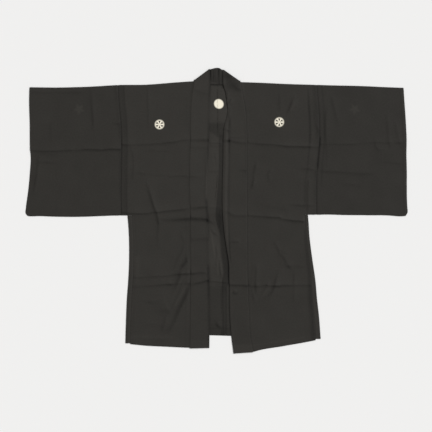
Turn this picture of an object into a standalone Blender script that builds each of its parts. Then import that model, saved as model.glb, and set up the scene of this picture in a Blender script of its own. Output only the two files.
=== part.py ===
"""A man's unlined haori jacket of black silk, laid flat with its front up.

The jacket lies on the plane Z = 0. +Y runs towards the collar and +X towards the wearer's left
sleeve, so the wearer's right half is at -X. Tables and working values are in millimetres, and
the meshes are in metres. Each piece is an open surface lofted through sections of the garment,
and Solidify gives it the thickness of the cloth wall. The back layer rests on Z = 0, the front
layer lies on it, and the folded collar lies on the back layer beside the two fronts.
"""

import math
from functools import partial

import bmesh
import bpy
import numpy as np
from mathutils import Vector

MM = 0.001  # the meshes are in metres
CLOTH = 1.0  # thickness of a cloth wall
GAP = 0.3  # clear space at seams and between layers
LAYER = CLOTH + GAP  # rise from the middle of one layer to the middle of the next
Z_BACK = CLOTH / 2  # middle of the layer that rests on the ground
Z_FRONT = Z_BACK + LAYER  # middle of the front layer
FOLD_STEPS = 4  # facets round each half-round fold
CREASE_HALF_WIDTH = 8.0  # of a storage crease, from its crest to its foot
ROW_STEP = 28.0  # the most between two crosswise rows, so that neighbours follow the same seam
NECK_STEP = 14.0  # the most where the collar curves round the neck
WELD = 0.01  # points of neighbouring patches this close are one

UP = Vector((0, 0, 1))
NORTH = Vector((0, 1, 0))
SOUTH = Vector((0, -1, 0))
SIGN = {"right": -1, "left": 1}  # the side of X that each half of the garment lies on


def table(columns, *rows):
    """Rows of numbers under named columns."""
    return dict(zip(columns.split(), np.array(rows, float).T))


def read(rows, want, by, at):
    """The wanted column where the column `by` has the value `at`, read off straight between rows."""
    order = np.argsort(rows[by])
    return float(np.interp(at, rows[by][order], rows[want][order]))


def refined(rows, x="x", y="y", most=ROW_STEP):
    """The same table with more rows, on smooth curves through its own, at most `most` apart."""
    steps = np.hypot(np.diff(rows[x]), np.diff(rows[y]))
    run = np.concatenate([[0.0], np.cumsum(steps)])
    counts = [max(1, math.ceil(step / most)) for step in steps]
    stops = [
        start + step * part / count
        for start, step, count in zip(run, steps, counts)
        for part in range(count)
    ]
    stops = np.array(stops + [run[-1]])
    place = np.clip(np.searchsorted(run, stops, side="right") - 1, 0, len(steps) - 1)
    share = (stops - run[place]) / steps[place]
    finer = {}
    for name, values in rows.items():
        slope = np.gradient(values, run)
        start, end = values[place], values[place + 1]
        rise_in, rise_out = slope[place] * steps[place], slope[place + 1] * steps[place]
        finer[name] = (
            (2 * share**3 - 3 * share**2 + 1) * start
            + (share**3 - 2 * share**2 + share) * rise_in
            + (3 * share**2 - 2 * share**3) * end
            + (share**3 - share**2) * rise_out
        )
    return finer


def across(rows):
    """A crosswise line of the garment, as y for each x."""
    return lambda x: read(rows, "y", "x", x)


def along(rows):
    """A lengthwise line of the garment, as x for each y."""
    return lambda y: read(rows, "x", "y", y)


def moved(line, by):
    """A line shifted by a fixed amount in the direction that it measures."""
    return lambda at: line(at) + by


def between(first, second, share):
    """The line that lies a share of the way from one line to another."""
    return lambda at: (1 - share) * first(at) + share * second(at)


# ---- Outline, seams and creases ----------------------------------------------------------------

# The fold along the shoulders and the tops of the sleeves, from the right cuff to the left one.
# The neck lies between its two middle rows.
SHOULDER = across(
    table(
        "x y",
        (-647, 424.2),
        (-542, 423.7),
        (-438, 426.6),
        (-335, 432.3),
        (-232, 433.8),
        (-190, 437.1),
        (-149, 440.6),
        (-79.5, 444.2),
        (82, 441.2),
        (162, 439.5),
        (245, 435.4),
        (348, 432.5),
        (493, 428.5),
        (643, 422.5),
    )
)

# The collar, in sections from the fold at the neck down to the hem of each front. Each section
# runs from the seam to the free edge, and `lift` raises it off the layers under it.
COLLAR_ROWS = {
    "right": table(
        "seam_x seam_y free_x free_y lift",
        (-79.5, 446.0, -26.0, 485.6, 1.3),
        (-80.0, 434.2, -23.5, 449.7, 1.3),
        (-83.1, 416.9, -24.5, 425.6, 1.2),
        (-86.6, 391.0, -25.9, 391.0, 0.4),
        (-90.0, 339.3, -27.3, 339.3, 0.0),
        (-90.6, 242.7, -29.3, 242.7, 0.0),
        (-90.6, 130.0, -31.8, 130.0, 0.0),
        (-90.6, 11.6, -32.8, 11.6, 0.0),
        (-90.8, -110.0, -31.6, -110.0, 0.0),
        (-91.0, -223.0, -30.0, -223.0, 0.0),
        (-91.8, -340.0, -28.0, -340.0, 0.0),
        (-92.6, -430.0, -27.1, -430.0, 0.0),
        (-93.5, -475.6, -27.6, -474.6, 0.0),
    ),
    "left": table(
        "seam_x seam_y free_x free_y lift",
        (79.5, 442.8, 21.0, 483.6, 1.3),
        (82.1, 432.5, 20.5, 453.2, 1.3),
        (85.2, 416.9, 21.7, 427.3, 1.2),
        (91.4, 389.3, 31.4, 391.0, 0.4),
        (99.7, 360.0, 36.2, 360.0, 0.0),
        (104.5, 329.0, 41.7, 329.0, 0.0),
        (106.3, 297.9, 44.5, 297.9, 0.0),
        (106.7, 277.0, 36.0, 277.0, 0.0),
        (107.0, 256.5, 23.5, 256.5, 0.0),
        (107.6, 135.8, 18.6, 135.8, 0.0),
        (108.0, 28.8, 16.2, 28.8, 0.0),
        (108.7, -60.9, 19.3, -60.9, 0.0),
        (109.4, -140.2, 31.4, -140.2, 0.0),
        (109.7, -181.6, 41.0, -181.6, 0.0),
        (110.4, -254.1, 43.1, -254.1, 0.0),
        (112.1, -309.3, 45.9, -309.3, 0.0),
        (117.0, -430.0, 49.7, -430.0, 0.0),
        (127.0, -489.4, 56.9, -493.5, 0.0),
    ),
}
COLLAR = {
    side: refined(rows, "seam_x", "seam_y") for side, rows in COLLAR_ROWS.items()
}
# The same band behind the neck, from the right fold to the left one.
COLLAR_NECK = table(
    "seam_x seam_y free_x free_y",
    (-79.5, 446.0, -26.0, 485.6),
    (-52.0, 441.0, -17.0, 487.8),
    (-24.0, 436.3, -7.0, 490.0),
    (5.5, 432.7, 2.0, 490.8),
    (34.0, 435.1, 9.0, 489.3),
    (58.0, 438.5, 14.0, 486.3),
    (79.5, 442.8, 21.0, 483.6),
)

# The back's neckline, just below the seam of the collar.
BACK_NECK = across(
    table(
        "x y",
        (-79.5, 444.2),
        (-52.0, 440.3),
        (-24.0, 435.8),
        (5.5, 432.3),
        (34.0, 434.6),
        (58.0, 437.8),
        (82.0, 441.2),
    )
)
# The seam down the middle of the back, and the three hems.
CENTRE_BACK = along(table("x y", (5.5, 432.0), (26.6, -431.0)))
BACK_HEM = across(
    table(
        "x y",
        (-318, -456.0),
        (-200, -443.0),
        (-29, -430.5),
        (50, -432.5),
        (200, -437.0),
        (360, -441.5),
    )
)

FRONT_HEM = {
    "right": across(
        table("x y", (-318, -458.2), (-252, -465.2), (-170, -469.6), (-94, -473.0))
    ),
    "left": across(
        table(
            "x y",
            (128, -486.6),
            (141, -482.9),
            (224, -468.1),
            (307, -453.5),
            (358, -443.3),
        )
    ),
}

# Where each sleeve is sewn to the body.
ARMHOLE = {
    "right": along(
        refined(
            table(
                "x y", (-338, 433), (-329, 309), (-327, 225), (-328, 156), (-328.5, -17)
            )
        )
    ),
    "left": along(
        refined(
            table(
                "x y",
                (343, 433),
                (351, 357),
                (353.5, 309),
                (353, 239),
                (350, 180),
                (348, 120),
                (350, -14),
            )
        )
    ),
}

# The fold of each side gusset, which is the garment's outline from armpit to hem, and how wide
# the folded gusset is there.
GUSSET_ROWS = {
    "right": table(
        "x y width",
        (-308.8, -17.8, 15),
        (-305.7, -54.0, 15),
        (-303.6, -95.4, 15.5),
        (-303.3, -178.2, 15.5),
        (-306.0, -240.3, 16),
        (-310.7, -302.4, 16),
        (-313.4, -364.5, 16),
        (-316.2, -458.0, 16),
    ),
    "left": table(
        "x y width",
        (312.7, -14.8, 11),
        (314.6, -33.3, 11.5),
        (318.9, -95.4, 12.5),
        (324.0, -136.8, 13),
        (329.7, -178.0, 13.5),
        (338.8, -240.3, 14.5),
        (344.3, -302.4, 15.5),
        (351.2, -364.5, 16.5),
        (357.0, -443.2, 17),
    ),
}
GUSSET = {side: refined(rows) for side, rows in GUSSET_ROWS.items()}

# The edge of each sleeve at the wrist, and how far down its mouth opens before the cuff is sewn.
CUFF = {
    "right": along(
        table(
            "x y",
            (-647.0, 424.2),
            (-648.3, 380.7),
            (-646.4, 297.9),
            (-645.5, 215.1),
            (-642.8, 180.0),
            (-645.3, 132.3),
            (-648.9, 90.9),
            (-653.7, 49.5),
            (-659.0, 8.1),
            (-658.8, -8.0),
            (-651.5, -18.6),
        )
    ),
    "left": along(
        table(
            "x y",
            (643.0, 422.5),
            (646.5, 366.7),
            (651.3, 297.9),
            (653.3, 256.5),
            (654.1, 132.0),
            (654.1, 49.5),
            (655.8, 8.1),
            (656.5, -7.0),
            (650.0, -18.4),
        )
    ),
}
MOUTH_END = {"right": 180.0, "left": 176.0}
SLEEVE_BOTTOM = {
    "right": across(
        table(
            "x y",
            (-651.5, -18.6),
            (-645.5, -20.4),
            (-542, -21.6),
            (-459, -21.2),
            (-397, -18.8),
            (-328, -17.2),
        )
    ),
    "left": across(
        table(
            "x y",
            (350, -14.2),
            (431, -15.4),
            (534, -16.4),
            (637, -20.0),
            (650, -18.4),
        )
    ),
}

# The sharpest storage creases, each a soft ridge that crosses the front layer, from top to bottom.
CREASES = {
    "right": [
        {
            "height": 2.0,
            "line": across(
                table(
                    "x y",
                    (-640, 205),
                    (-462, 209),
                    (-331, 212),
                    (-245, 222),
                    (-140, 236),
                    (-88, 239),
                )
            ),
        },
        {
            "height": 2.4,
            "line": across(
                table("x y", (-330, -9), (-305, -9), (-192, -6.7), (-88, 2.5))
            ),
        },
        {
            "height": 1.6,
            "line": across(
                table("x y", (-310, -230), (-194, -224.4), (-88, -220))
            ),
        },
    ],
    "left": [
        {
            "height": 2.0,
            "line": across(
                table(
                    "x y",
                    (100, 231.5),
                    (234, 220.6),
                    (348, 220),
                    (493, 227),
                    (650, 227),
                )
            ),
        },
        {
            "height": 2.4,
            "line": across(
                table("x y", (104, -11), (200, -24), (296, -38.8), (330, -40))
            ),
        },
        {
            "height": 1.6,
            "line": across(
                table("x y", (104, -260), (200, -261), (340, -258))
            ),
        },
    ],
}
# The crosswise line through each armpit, below which the body narrows to its side seam.
ARMPIT = {
    "right": across(table("x y", (-294, -17.2), (-88, -5.7))),
    "left": across(table("x y", (100, 8.0), (200, -5.0), (300, -14.2), (360, -14.2))),
}


# ---- Surfaces ----------------------------------------------------------------------------------


def crossing(crosswise, lengthwise):
    """The point where a crosswise line meets a lengthwise one."""
    x = 0.0
    y = 0.0
    for _ in range(8):
        x = lengthwise(y)
        y = crosswise(x)
    return x, y


def front_height(side, x, y):
    """The height of the front layer's middle, with the storage creases as soft ridges."""
    height = Z_FRONT
    for crease in CREASES[side]:
        away = abs(y - crease["line"](x)) / CREASE_HALF_WIDTH
        height += crease["height"] * max(0.0, 1.0 - away)
    return height


def back_height(x, y):
    """The height of the layer that rests on the ground, which is flat."""
    return Z_BACK


def patch(crosswise, lengthwise, height):
    """Rows of points where the crosswise lines meet the lengthwise ones."""
    rows = []
    for row in crosswise:
        places = [crossing(row, column) for column in lengthwise]
        rows.append([Vector((x, y, height(x, y))) for x, y in places])
    return rows


def rows_down(lines, most, at):
    """The lines in their order, with more of them between each two, at most `most` apart."""
    rows = [lines[0]]
    for upper, lower in zip(lines, lines[1:]):
        steps = max(1, math.ceil(abs(upper(at) - lower(at)) / most))
        rows += [between(upper, lower, step / steps) for step in range(1, steps)]
        rows.append(lower)
    return rows


def creased(side, number):
    """The three rows of a crease: its upper foot, its crest and its lower foot."""
    line = CREASES[side][number]["line"]
    return [moved(line, CREASE_HALF_WIDTH), line, moved(line, -CREASE_HALF_WIDTH)]


def roll(upper, lower, outward):
    """Points round the half-round fold from a point of one layer to the point under it."""
    middle = (upper + lower) / 2
    radius = (upper.z - lower.z) / 2
    turns = [math.pi * step / FOLD_STEPS for step in range(FOLD_STEPS + 1)]
    return [
        middle + outward * (radius * math.sin(turn)) + UP * (radius * math.cos(turn))
        for turn in turns
    ]


def leave_out(rows, columns, lines, last):
    """Takes the first columns out of a patch below the crosswise line `last`."""
    for row in rows[lines.index(last) + 1 :]:
        for column in range(columns):
            row[column] = None


def surface(name, patches):
    """An open surface in metres from rows of points in millimetres; None is where no cloth is."""
    mesh = bmesh.new()
    for rows in patches:
        grid = [[point and mesh.verts.new(point * MM) for point in row] for row in rows]
        for upper, lower in zip(grid, grid[1:]):
            for here, beside in zip(range(len(upper)), range(1, len(upper))):
                corners = (upper[here], upper[beside], lower[beside], lower[here])
                if all(corners):
                    mesh.faces.new(corners)
    bmesh.ops.remove_doubles(mesh, verts=mesh.verts, dist=WELD * MM)
    bmesh.ops.recalc_face_normals(mesh, faces=mesh.faces)
    data = bpy.data.meshes.new(name)
    mesh.to_mesh(data)
    mesh.free()
    data.shade_smooth()
    data.set_sharp_from_angle(angle=math.radians(40))
    return data


# ---- The pieces --------------------------------------------------------------------------------


def side_seam(side):
    """The edge of front and back beside the gusset, which runs straight on up to the shoulder."""
    rows = GUSSET[side]
    return along({"x": rows["x"] - SIGN[side] * rows["width"], "y": rows["y"]})


def collar_seam(side):
    """The edge of a front beside the collar, with the seam's gap between them."""
    rows = COLLAR[side]
    seam = along({"x": rows["seam_x"], "y": rows["seam_y"]})
    return moved(seam, SIGN[side] * GAP)


def body_patches(side):
    """One length of cloth: the front, the fold over the shoulder, and the back."""
    armhole = moved(ARMHOLE[side], -SIGN[side] * GAP)
    seam = side_seam(side)
    collar = collar_seam(side)
    neck_x, neck_y = crossing(SHOULDER, collar)
    centre = moved(CENTRE_BACK, SIGN[side] * GAP / 2)
    at = 0.5 * (seam(neck_y) + neck_x)

    high, middle, low = (creased(side, number) for number in range(3))
    if side == "right":  # its middle crease runs into the armpit
        middle = [*middle[:2], ARMPIT[side]]
    else:
        middle = [ARMPIT[side], *middle]
    lines = rows_down([SHOULDER, high[0]], NECK_STEP, at)[:-1]
    lines += rows_down([*high, *middle, *low, FRONT_HEM[side]], ROW_STEP, at)
    columns = [armhole, between(armhole, seam, 0.5)]
    columns += [between(seam, collar, step / 5) for step in range(6)]
    front = patch(lines, columns, partial(front_height, side))
    leave_out(front, 2, lines, ARMPIT[side])

    def top_line(x):
        over_the_neck = (x - neck_x) * SIGN[side] < 0
        return BACK_NECK(x) if over_the_neck else SHOULDER(x)

    lines = rows_down([top_line, ARMPIT[side], BACK_HEM], ROW_STEP, at)
    columns = columns[:2]
    columns += [between(seam, lambda y: neck_x, step / 5) for step in range(6)]
    columns += [between(lambda y: neck_x, centre, step / 3) for step in range(1, 4)]
    back = patch(lines, columns, back_height)
    for under, over in zip(back[0], front[0]):
        under.xy = over.xy
    leave_out(back, 2, lines, ARMPIT[side])
    fold = [roll(over, under, NORTH) for over, under in zip(front[0], back[0])]
    return [front, fold, back]


def sleeve_patches(side):
    """A flattened tube: folded at the top, sewn below and along the lower cuff."""
    armhole = ARMHOLE[side]
    cuff = CUFF[side]
    mouth_end = MOUTH_END[side]
    outward = Vector((SIGN[side], 0, 0))
    corner = (outward + SOUTH).normalized()
    at = 0.5 * (cuff(mouth_end) + armhole(mouth_end))

    columns = [between(cuff, armhole, step / 6) for step in range(7)]
    lines = rows_down(
        [SHOULDER, *creased(side, 0), lambda x: mouth_end, SLEEVE_BOTTOM[side]],
        ROW_STEP,
        at,
    )
    front = patch(lines, columns, partial(front_height, side))
    back = [[Vector((point.x, point.y, Z_BACK)) for point in row] for row in front]
    top_fold = [roll(over, under, NORTH) for over, under in zip(front[0], back[0])]
    bottom = [corner] + [SOUTH] * (len(columns) - 1)
    bottom_seam = [roll(*pair) for pair in zip(front[-1], back[-1], bottom)]
    sewn = [row for row in range(len(lines)) if front[row][0].y < mouth_end + GAP]
    ways = [outward] * (len(sewn) - 1) + [corner]
    cuff_seam = [roll(front[row][0], back[row][0], way) for row, way in zip(sewn, ways)]
    return [front, back, top_fold, bottom_seam, cuff_seam]


def gusset_patches(side):
    """The side gusset, folded down its middle between the front's edge and the back's."""
    rows = GUSSET[side]
    outward = Vector((SIGN[side], 0, 0))
    sections = []
    for x, y, width in zip(rows["x"], rows["y"], rows["width"]):
        fold = x - SIGN[side] * LAYER / 2
        seam = x - SIGN[side] * (width - GAP)
        edge = roll(Vector((fold, y, Z_FRONT)), Vector((fold, y, Z_BACK)), outward)
        sections.append([Vector((seam, y, Z_FRONT)), *edge, Vector((seam, y, Z_BACK))])
    return [sections]


def band_section(seam, free, normal):
    """One section of the doubled band: out along one wall, round the free edge, and back."""
    reach = (free - seam).normalized()
    half = LAYER / 2
    shares = (0.0, 0.5, 1.0)
    out = [seam.lerp(free, share) + normal * half for share in shares]
    back = [seam.lerp(free, share) - normal * half for share in reversed(shares)]
    turns = [math.pi * step / FOLD_STEPS for step in range(1, FOLD_STEPS)]
    edge = [
        free + reach * (half * math.sin(turn)) + normal * (half * math.cos(turn))
        for turn in turns
    ]
    return out + edge + back


def band_sections(rows, height, normal):
    """Sections of the band where it lies flat, at a height above the ground."""
    sections = []
    lifts = rows.get("lift", np.zeros(len(rows["seam_x"])))
    for seam_x, seam_y, free_x, free_y, lift in zip(
        rows["seam_x"], rows["seam_y"], rows["free_x"], rows["free_y"], lifts
    ):
        seam = Vector((seam_x, seam_y, height + lift))
        free = Vector((free_x, free_y, height + lift))
        sections.append(band_section(seam, free, normal))
    return sections


def neck_turn(side, over, under):
    """The slanting fold at the side of the neck, where the band turns over to run behind it."""
    rows = COLLAR[side]
    seam = Vector((rows["seam_x"][0], rows["seam_y"][0], (over + under) / 2))
    free = Vector((rows["free_x"][0], rows["free_y"][0], (over + under) / 2))
    outward = (free - seam).cross(UP).normalized() * SIGN[side]
    sections = []
    for step in range(1, FOLD_STEPS):
        turn = math.pi * step / FOLD_STEPS
        normal = outward * math.sin(turn) + UP * math.cos(turn)
        shift = normal * (over - under) / 2
        sections.append(band_section(seam + shift, free + shift, normal))
    return sections


def collar_patches():
    """The band from the right hem up round the neck and down to the left hem."""
    under = Z_BACK + LAYER / 2  # behind the neck the doubled band lies on the ground
    on_back = under + LAYER  # down the fronts it lies on the back layer
    over = on_back + LAYER  # and beside the neck it lies on the part behind the neck
    return [
        [
            *reversed(band_sections(COLLAR["right"], on_back, UP)),
            *neck_turn("right", over, under),
            *band_sections(COLLAR_NECK, under, -UP),
            *reversed(neck_turn("left", over, under)),
            *band_sections(COLLAR["left"], on_back, UP),
        ]
    ]


# ---- The jacket --------------------------------------------------------------------------------


def silk(name, colour, roughness):
    """A plain finish for one kind of cloth."""
    material = bpy.data.materials.new(name)
    material.use_nodes = True
    shader = material.node_tree.nodes["Principled BSDF"]
    shader.inputs["Base Color"].default_value = (*colour, 1.0)
    shader.inputs["Roughness"].default_value = roughness
    shader.inputs["Metallic"].default_value = 0.0
    return material


def sew_on(name, patches, material, garment, parent):
    """One piece of the garment: its surface, thickened to the cloth wall."""
    piece = bpy.data.objects.new(name, surface(name, patches))
    piece.data.materials.append(material)
    wall = piece.modifiers.new("cloth", "SOLIDIFY")
    wall.thickness = CLOTH * MM
    wall.offset = 0.0
    wall.use_even_offset = True
    wall.use_rim = True
    piece.parent = parent
    garment.objects.link(piece)


def make_haori():
    """Clears the scene and sews the jacket together from its seven pieces."""
    for thing in list(bpy.data.objects):
        bpy.data.objects.remove(thing, do_unlink=True)
    garment = bpy.data.collections.new("haori")
    bpy.context.scene.collection.children.link(garment)
    laid = bpy.data.objects.new("haori_laid_flat", None)
    garment.objects.link(laid)
    body_silk = silk("black_silk", (0.036, 0.034, 0.030), 0.72)
    collar_silk = silk("black_silk_doubled", (0.034, 0.032, 0.028), 0.72)
    for side in ("right", "left"):
        sew_on(f"body_{side}", body_patches(side), body_silk, garment, laid)
        sew_on(f"sleeve_{side}", sleeve_patches(side), body_silk, garment, laid)
        sew_on(f"gusset_{side}", gusset_patches(side), body_silk, garment, laid)
    sew_on("collar", collar_patches(), collar_silk, garment, laid)


make_haori()
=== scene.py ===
# %% [markdown]
# # A black silk haori, laid flat
#
# A haori is a short jacket cut from straight lengths of narrow cloth. This lesson dresses the
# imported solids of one, laid flat with its front up, in thin black silk. Every table and working
# size is in millimetres, +Y runs towards the collar and +X towards the wearer's left sleeve.

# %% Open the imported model
import math

import bmesh
import bpy
import numpy as np
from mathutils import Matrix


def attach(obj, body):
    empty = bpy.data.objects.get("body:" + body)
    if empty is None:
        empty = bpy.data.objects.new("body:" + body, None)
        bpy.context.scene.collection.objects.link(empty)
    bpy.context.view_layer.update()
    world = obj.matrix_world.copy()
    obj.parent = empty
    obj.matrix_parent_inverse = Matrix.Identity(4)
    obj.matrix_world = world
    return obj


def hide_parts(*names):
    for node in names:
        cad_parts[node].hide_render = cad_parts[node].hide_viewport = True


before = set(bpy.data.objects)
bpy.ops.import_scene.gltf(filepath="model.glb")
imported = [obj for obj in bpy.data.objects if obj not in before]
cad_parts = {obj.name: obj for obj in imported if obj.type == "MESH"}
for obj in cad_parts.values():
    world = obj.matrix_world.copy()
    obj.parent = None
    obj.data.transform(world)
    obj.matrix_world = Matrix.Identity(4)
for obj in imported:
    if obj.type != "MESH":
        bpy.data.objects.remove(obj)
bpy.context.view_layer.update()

MM = 0.001  # the meshes are in metres
SIGN = {"right": -1, "left": 1}  # the side of X that each half of the garment lies on
print("solids to dress:", sorted(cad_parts))

# %% [markdown]
# ## Camera
#
# A garment laid on a table is seen from straight above, so that its cut shows without any
# slant. A long lens from high up keeps the middle and the cuffs at the same scale.

# %% Camera
VIEW_WIDTH = 1490.4  # width of the table that the picture takes in
VIEW_MIDDLE = (-3.8, -19.5)
LENS, SENSOR = 85.0, 36.0

camera = bpy.data.objects.new("camera", bpy.data.cameras.new("camera"))
camera.data.lens = LENS
camera.data.sensor_width = SENSOR
camera.location = (*np.multiply(VIEW_MIDDLE, MM), VIEW_WIDTH * MM * LENS / SENSOR)
bpy.context.scene.collection.objects.link(camera)
bpy.context.scene.camera = camera
print(f"camera {camera.location.z:.2f} m above the table")

# %% [markdown]
# ## Light and floor
#
# Creases in black cloth only show when light rakes over them. A large soft lamp low in the east,
# turned a little to the north, draws each ridge with a bright and a dark side. An even pale
# surrounding fills the shadows, so that the floor stays one tone right up to the cloth.

# %% Light and floor
FILL = 0.44  # brightness of the surroundings, of the floor's full brightness of about 1
KEY_HEIGHT, KEY_TURN = 44.0, 38.0  # degrees above the table, and round from +X towards +Y
KEY_SHARE = 0.55
FLOOR_PAINT = (0.883, 0.879, 0.871, 1)

lamp = bpy.data.objects.new("key_lamp", bpy.data.lights.new("key_lamp", "SUN"))
lamp.data.energy = KEY_SHARE * math.pi / math.sin(math.radians(KEY_HEIGHT))
lamp.data.angle = math.radians(24)
lamp.rotation_euler = (0, math.radians(90 - KEY_HEIGHT), math.radians(KEY_TURN))
bpy.context.scene.collection.objects.link(lamp)

world = bpy.data.worlds.new("pale_studio")
world.use_nodes = True
world.node_tree.nodes["Background"].inputs["Color"].default_value = (1, 1, 1, 1)
world.node_tree.nodes["Background"].inputs["Strength"].default_value = FILL
bpy.context.scene.world = world
bpy.context.scene.view_settings.view_transform = "Standard"

floor_finish = bpy.data.materials.new("pale_floor")
floor_finish.use_nodes = True
paint = floor_finish.node_tree.nodes["Principled BSDF"].inputs
paint["Base Color"].default_value = FLOOR_PAINT
paint["Roughness"].default_value = 1.0
paint["Specular IOR Level"].default_value = 0.0

FLOOR_HALF, FLOOR_Z = 40.0, -0.1 * MM
floor_mesh = bpy.data.meshes.new("floor")
corners = [(-1, -1), (1, -1), (1, 1), (-1, 1)]
floor_mesh.from_pydata(
    [(x * FLOOR_HALF, y * FLOOR_HALF, FLOOR_Z) for x, y in corners], [], [(0, 1, 2, 3)]
)
floor_mesh.materials.append(floor_finish)
floor = bpy.data.objects.new("floor", floor_mesh)
bpy.context.scene.collection.objects.link(floor)
print(f"lamp at {lamp.data.energy:.2f}, surroundings at {FILL}")

# %% [markdown]
# ## The cut
#
# The outline and the seams are tables of points, and a smooth curve is run through each table.
# A crosswise line gives y for each x, and a lengthwise one gives x for each y. Drawing every
# piece from shared lines makes neighbours meet along one seam, which separate outlines never do.

# %% Lines through tables of points
CELL = 3.5  # size of the cloth's cells where it shows
SMOOTH = 9.0  # the most between two points of a smoothed line


def numbers(text):
    """Rows of numbers, written with a comma between one row and the next."""
    return [tuple(map(float, row.split())) for row in text.split(",")]


def table(columns, text):
    """The numbers of a text under named columns."""
    return dict(zip(columns.split(), np.transpose(numbers(text))))


def refined(rows, x="x", y="y", most=SMOOTH):
    """The same table with more rows, on smooth curves through its own, at most `most` apart."""
    steps = np.hypot(np.diff(rows[x]), np.diff(rows[y]))
    run = np.concatenate([[0.0], np.cumsum(steps)])
    counts = [max(1, math.ceil(step / most)) for step in steps]
    stops = [
        start + step * part / count
        for start, step, count in zip(run, steps, counts)
        for part in range(count)
    ]
    stops = np.array(stops + [run[-1]])
    place = np.clip(np.searchsorted(run, stops, side="right") - 1, 0, len(steps) - 1)
    share = (stops - run[place]) / steps[place]
    finer = {}
    for name, values in rows.items():
        slope = np.gradient(values, run)
        start, end = values[place], values[place + 1]
        rise_in, rise_out = slope[place] * steps[place], slope[place + 1] * steps[place]
        finer[name] = (
            (2 * share**3 - 3 * share**2 + 1) * start
            + (share**3 - 2 * share**2 + share) * rise_in
            + (3 * share**2 - 2 * share**3) * end
            + (share**3 - share**2) * rise_out
        )
    return finer


def reading(rows, want, by):
    """The wanted column as a line over the column `by`."""
    order = np.argsort(rows[by])
    return lambda at: np.interp(at, rows[by][order], rows[want][order])


def across(points):
    """A crosswise line of the garment through points, as y for each x."""
    return reading(refined(table("x y", points)), "y", "x")


def along(points):
    """A lengthwise line of the garment through points, as x for each y."""
    return reading(refined(table("x y", points)), "x", "y")


def moved(line, by):
    """A line shifted by a fixed amount in the direction that it measures."""
    return lambda at: line(at) + by


print("cells of", CELL, "mm")

# %% The outline
SHOULDER = across("""
    -646 423.2, -542 422.7, -438 425.6, -335 431.4, -232 433, -190 436.2, -149 439.7, -79.5 444.2,
    82 441.2, 162 438.7, 245 434.5, 348 431.6, 493 427.6, 642.4 421.6
""")
BACK_NECK = across("-79.5 444.2, -52 440.3, -24 435.8, 5.5 432.3, 34 434.6, 58 437.8, 82 441.2")
CENTRE_BACK = along("""
    5.5 432, 6.6 250, 6.6 150, 4.6 98, 0 45, -1 -45, 4.5 -64, 8 -105, 10 -140, 14 -180, 18.5 -215,
    18.5 -260, 20 -340, 21.5 -431
""")
BACK_HEM = across("-318 -456, -200 -443, -29 -430.5, 50 -432.5, 200 -437, 360 -441.5")
FRONT_HEM = {
    "right": across("-318 -458.2, -252 -465.2, -170 -469.6, -94 -473"),
    "left": across("128 -486.6, 141 -482.9, 224 -468.1, 307 -453.5, 358 -443.3"),
}
ARMHOLE = {
    "right": along("-344 433, -339 360, -334 309, -331 225, -332 156, -333 60, -332 -17"),
    "left": along("344 433, 350 357, 353 309, 353 239, 350 200, 346 160, 344 120, 343 60, 343 -14"),
}
CUFF = {
    "right": along("""
        -646 423.2, -647.2 380.7, -645.2 297.9, -644.3 215.1, -641.6 180, -644.1 132.3,
        -647.7 90.9, -652.6 49.5, -658.4 8.1, -659.2 -11, -653 -18.4
    """),
    "left": along("""
        642.4 421.6, 646 366.7, 650.7 297.9, 652.6 256.5, 652.4 180, 653.4 132, 653.6 49.5,
        655.5 8.1, 656.5 -7, 650 -18.4
    """),
}
MOUTH_END = {"right": 180.0, "left": 176.0}  # how far down the sleeve's mouth opens
SLEEVE_BOTTOM = {
    "right": across("""
        -653 -18.4, -645.5 -19.2, -610 -18.8, -569 -20.4, -542 -21, -459 -20.7, -397 -18.3,
        -328 -16.7
    """),
    "left": across("350 -14, 382 -13.2, 431 -14.9, 534 -15.7, 589 -16.2, 637 -19.4, 650 -18.4"),
}
ARMPIT = {
    "right": across("-294 -17.2, -88 -5.7"),
    "left": across("100 8, 200 -5, 300 -14.2, 360 -14.2"),
}
# The fold of each side gusset, from armpit to hem, and how wide the folded gusset is there.
GUSSET = {
    "right": refined(table("x y width", """
        -308.8 -17.8 15, -305.7 -54 15, -303.6 -95.4 15.5, -303.3 -178.2 15.5, -306 -240.3 16,
        -310.7 -302.4 16, -313.4 -364.5 16, -316.2 -458 16
    """), most=CELL),
    "left": refined(table("x y width", """
        312.7 -14.8 11, 314.6 -33.3 11.5, 318.9 -95.4 12.5, 324 -136.8 13, 329.7 -178 13.5,
        338.8 -240.3 14.5, 344.3 -302.4 15.5, 351.2 -364.5 16.5, 357 -443.2 17
    """), most=CELL),
}
print("shoulder to back hem", round(float(SHOULDER(200) - BACK_HEM(200))), "mm")

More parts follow.
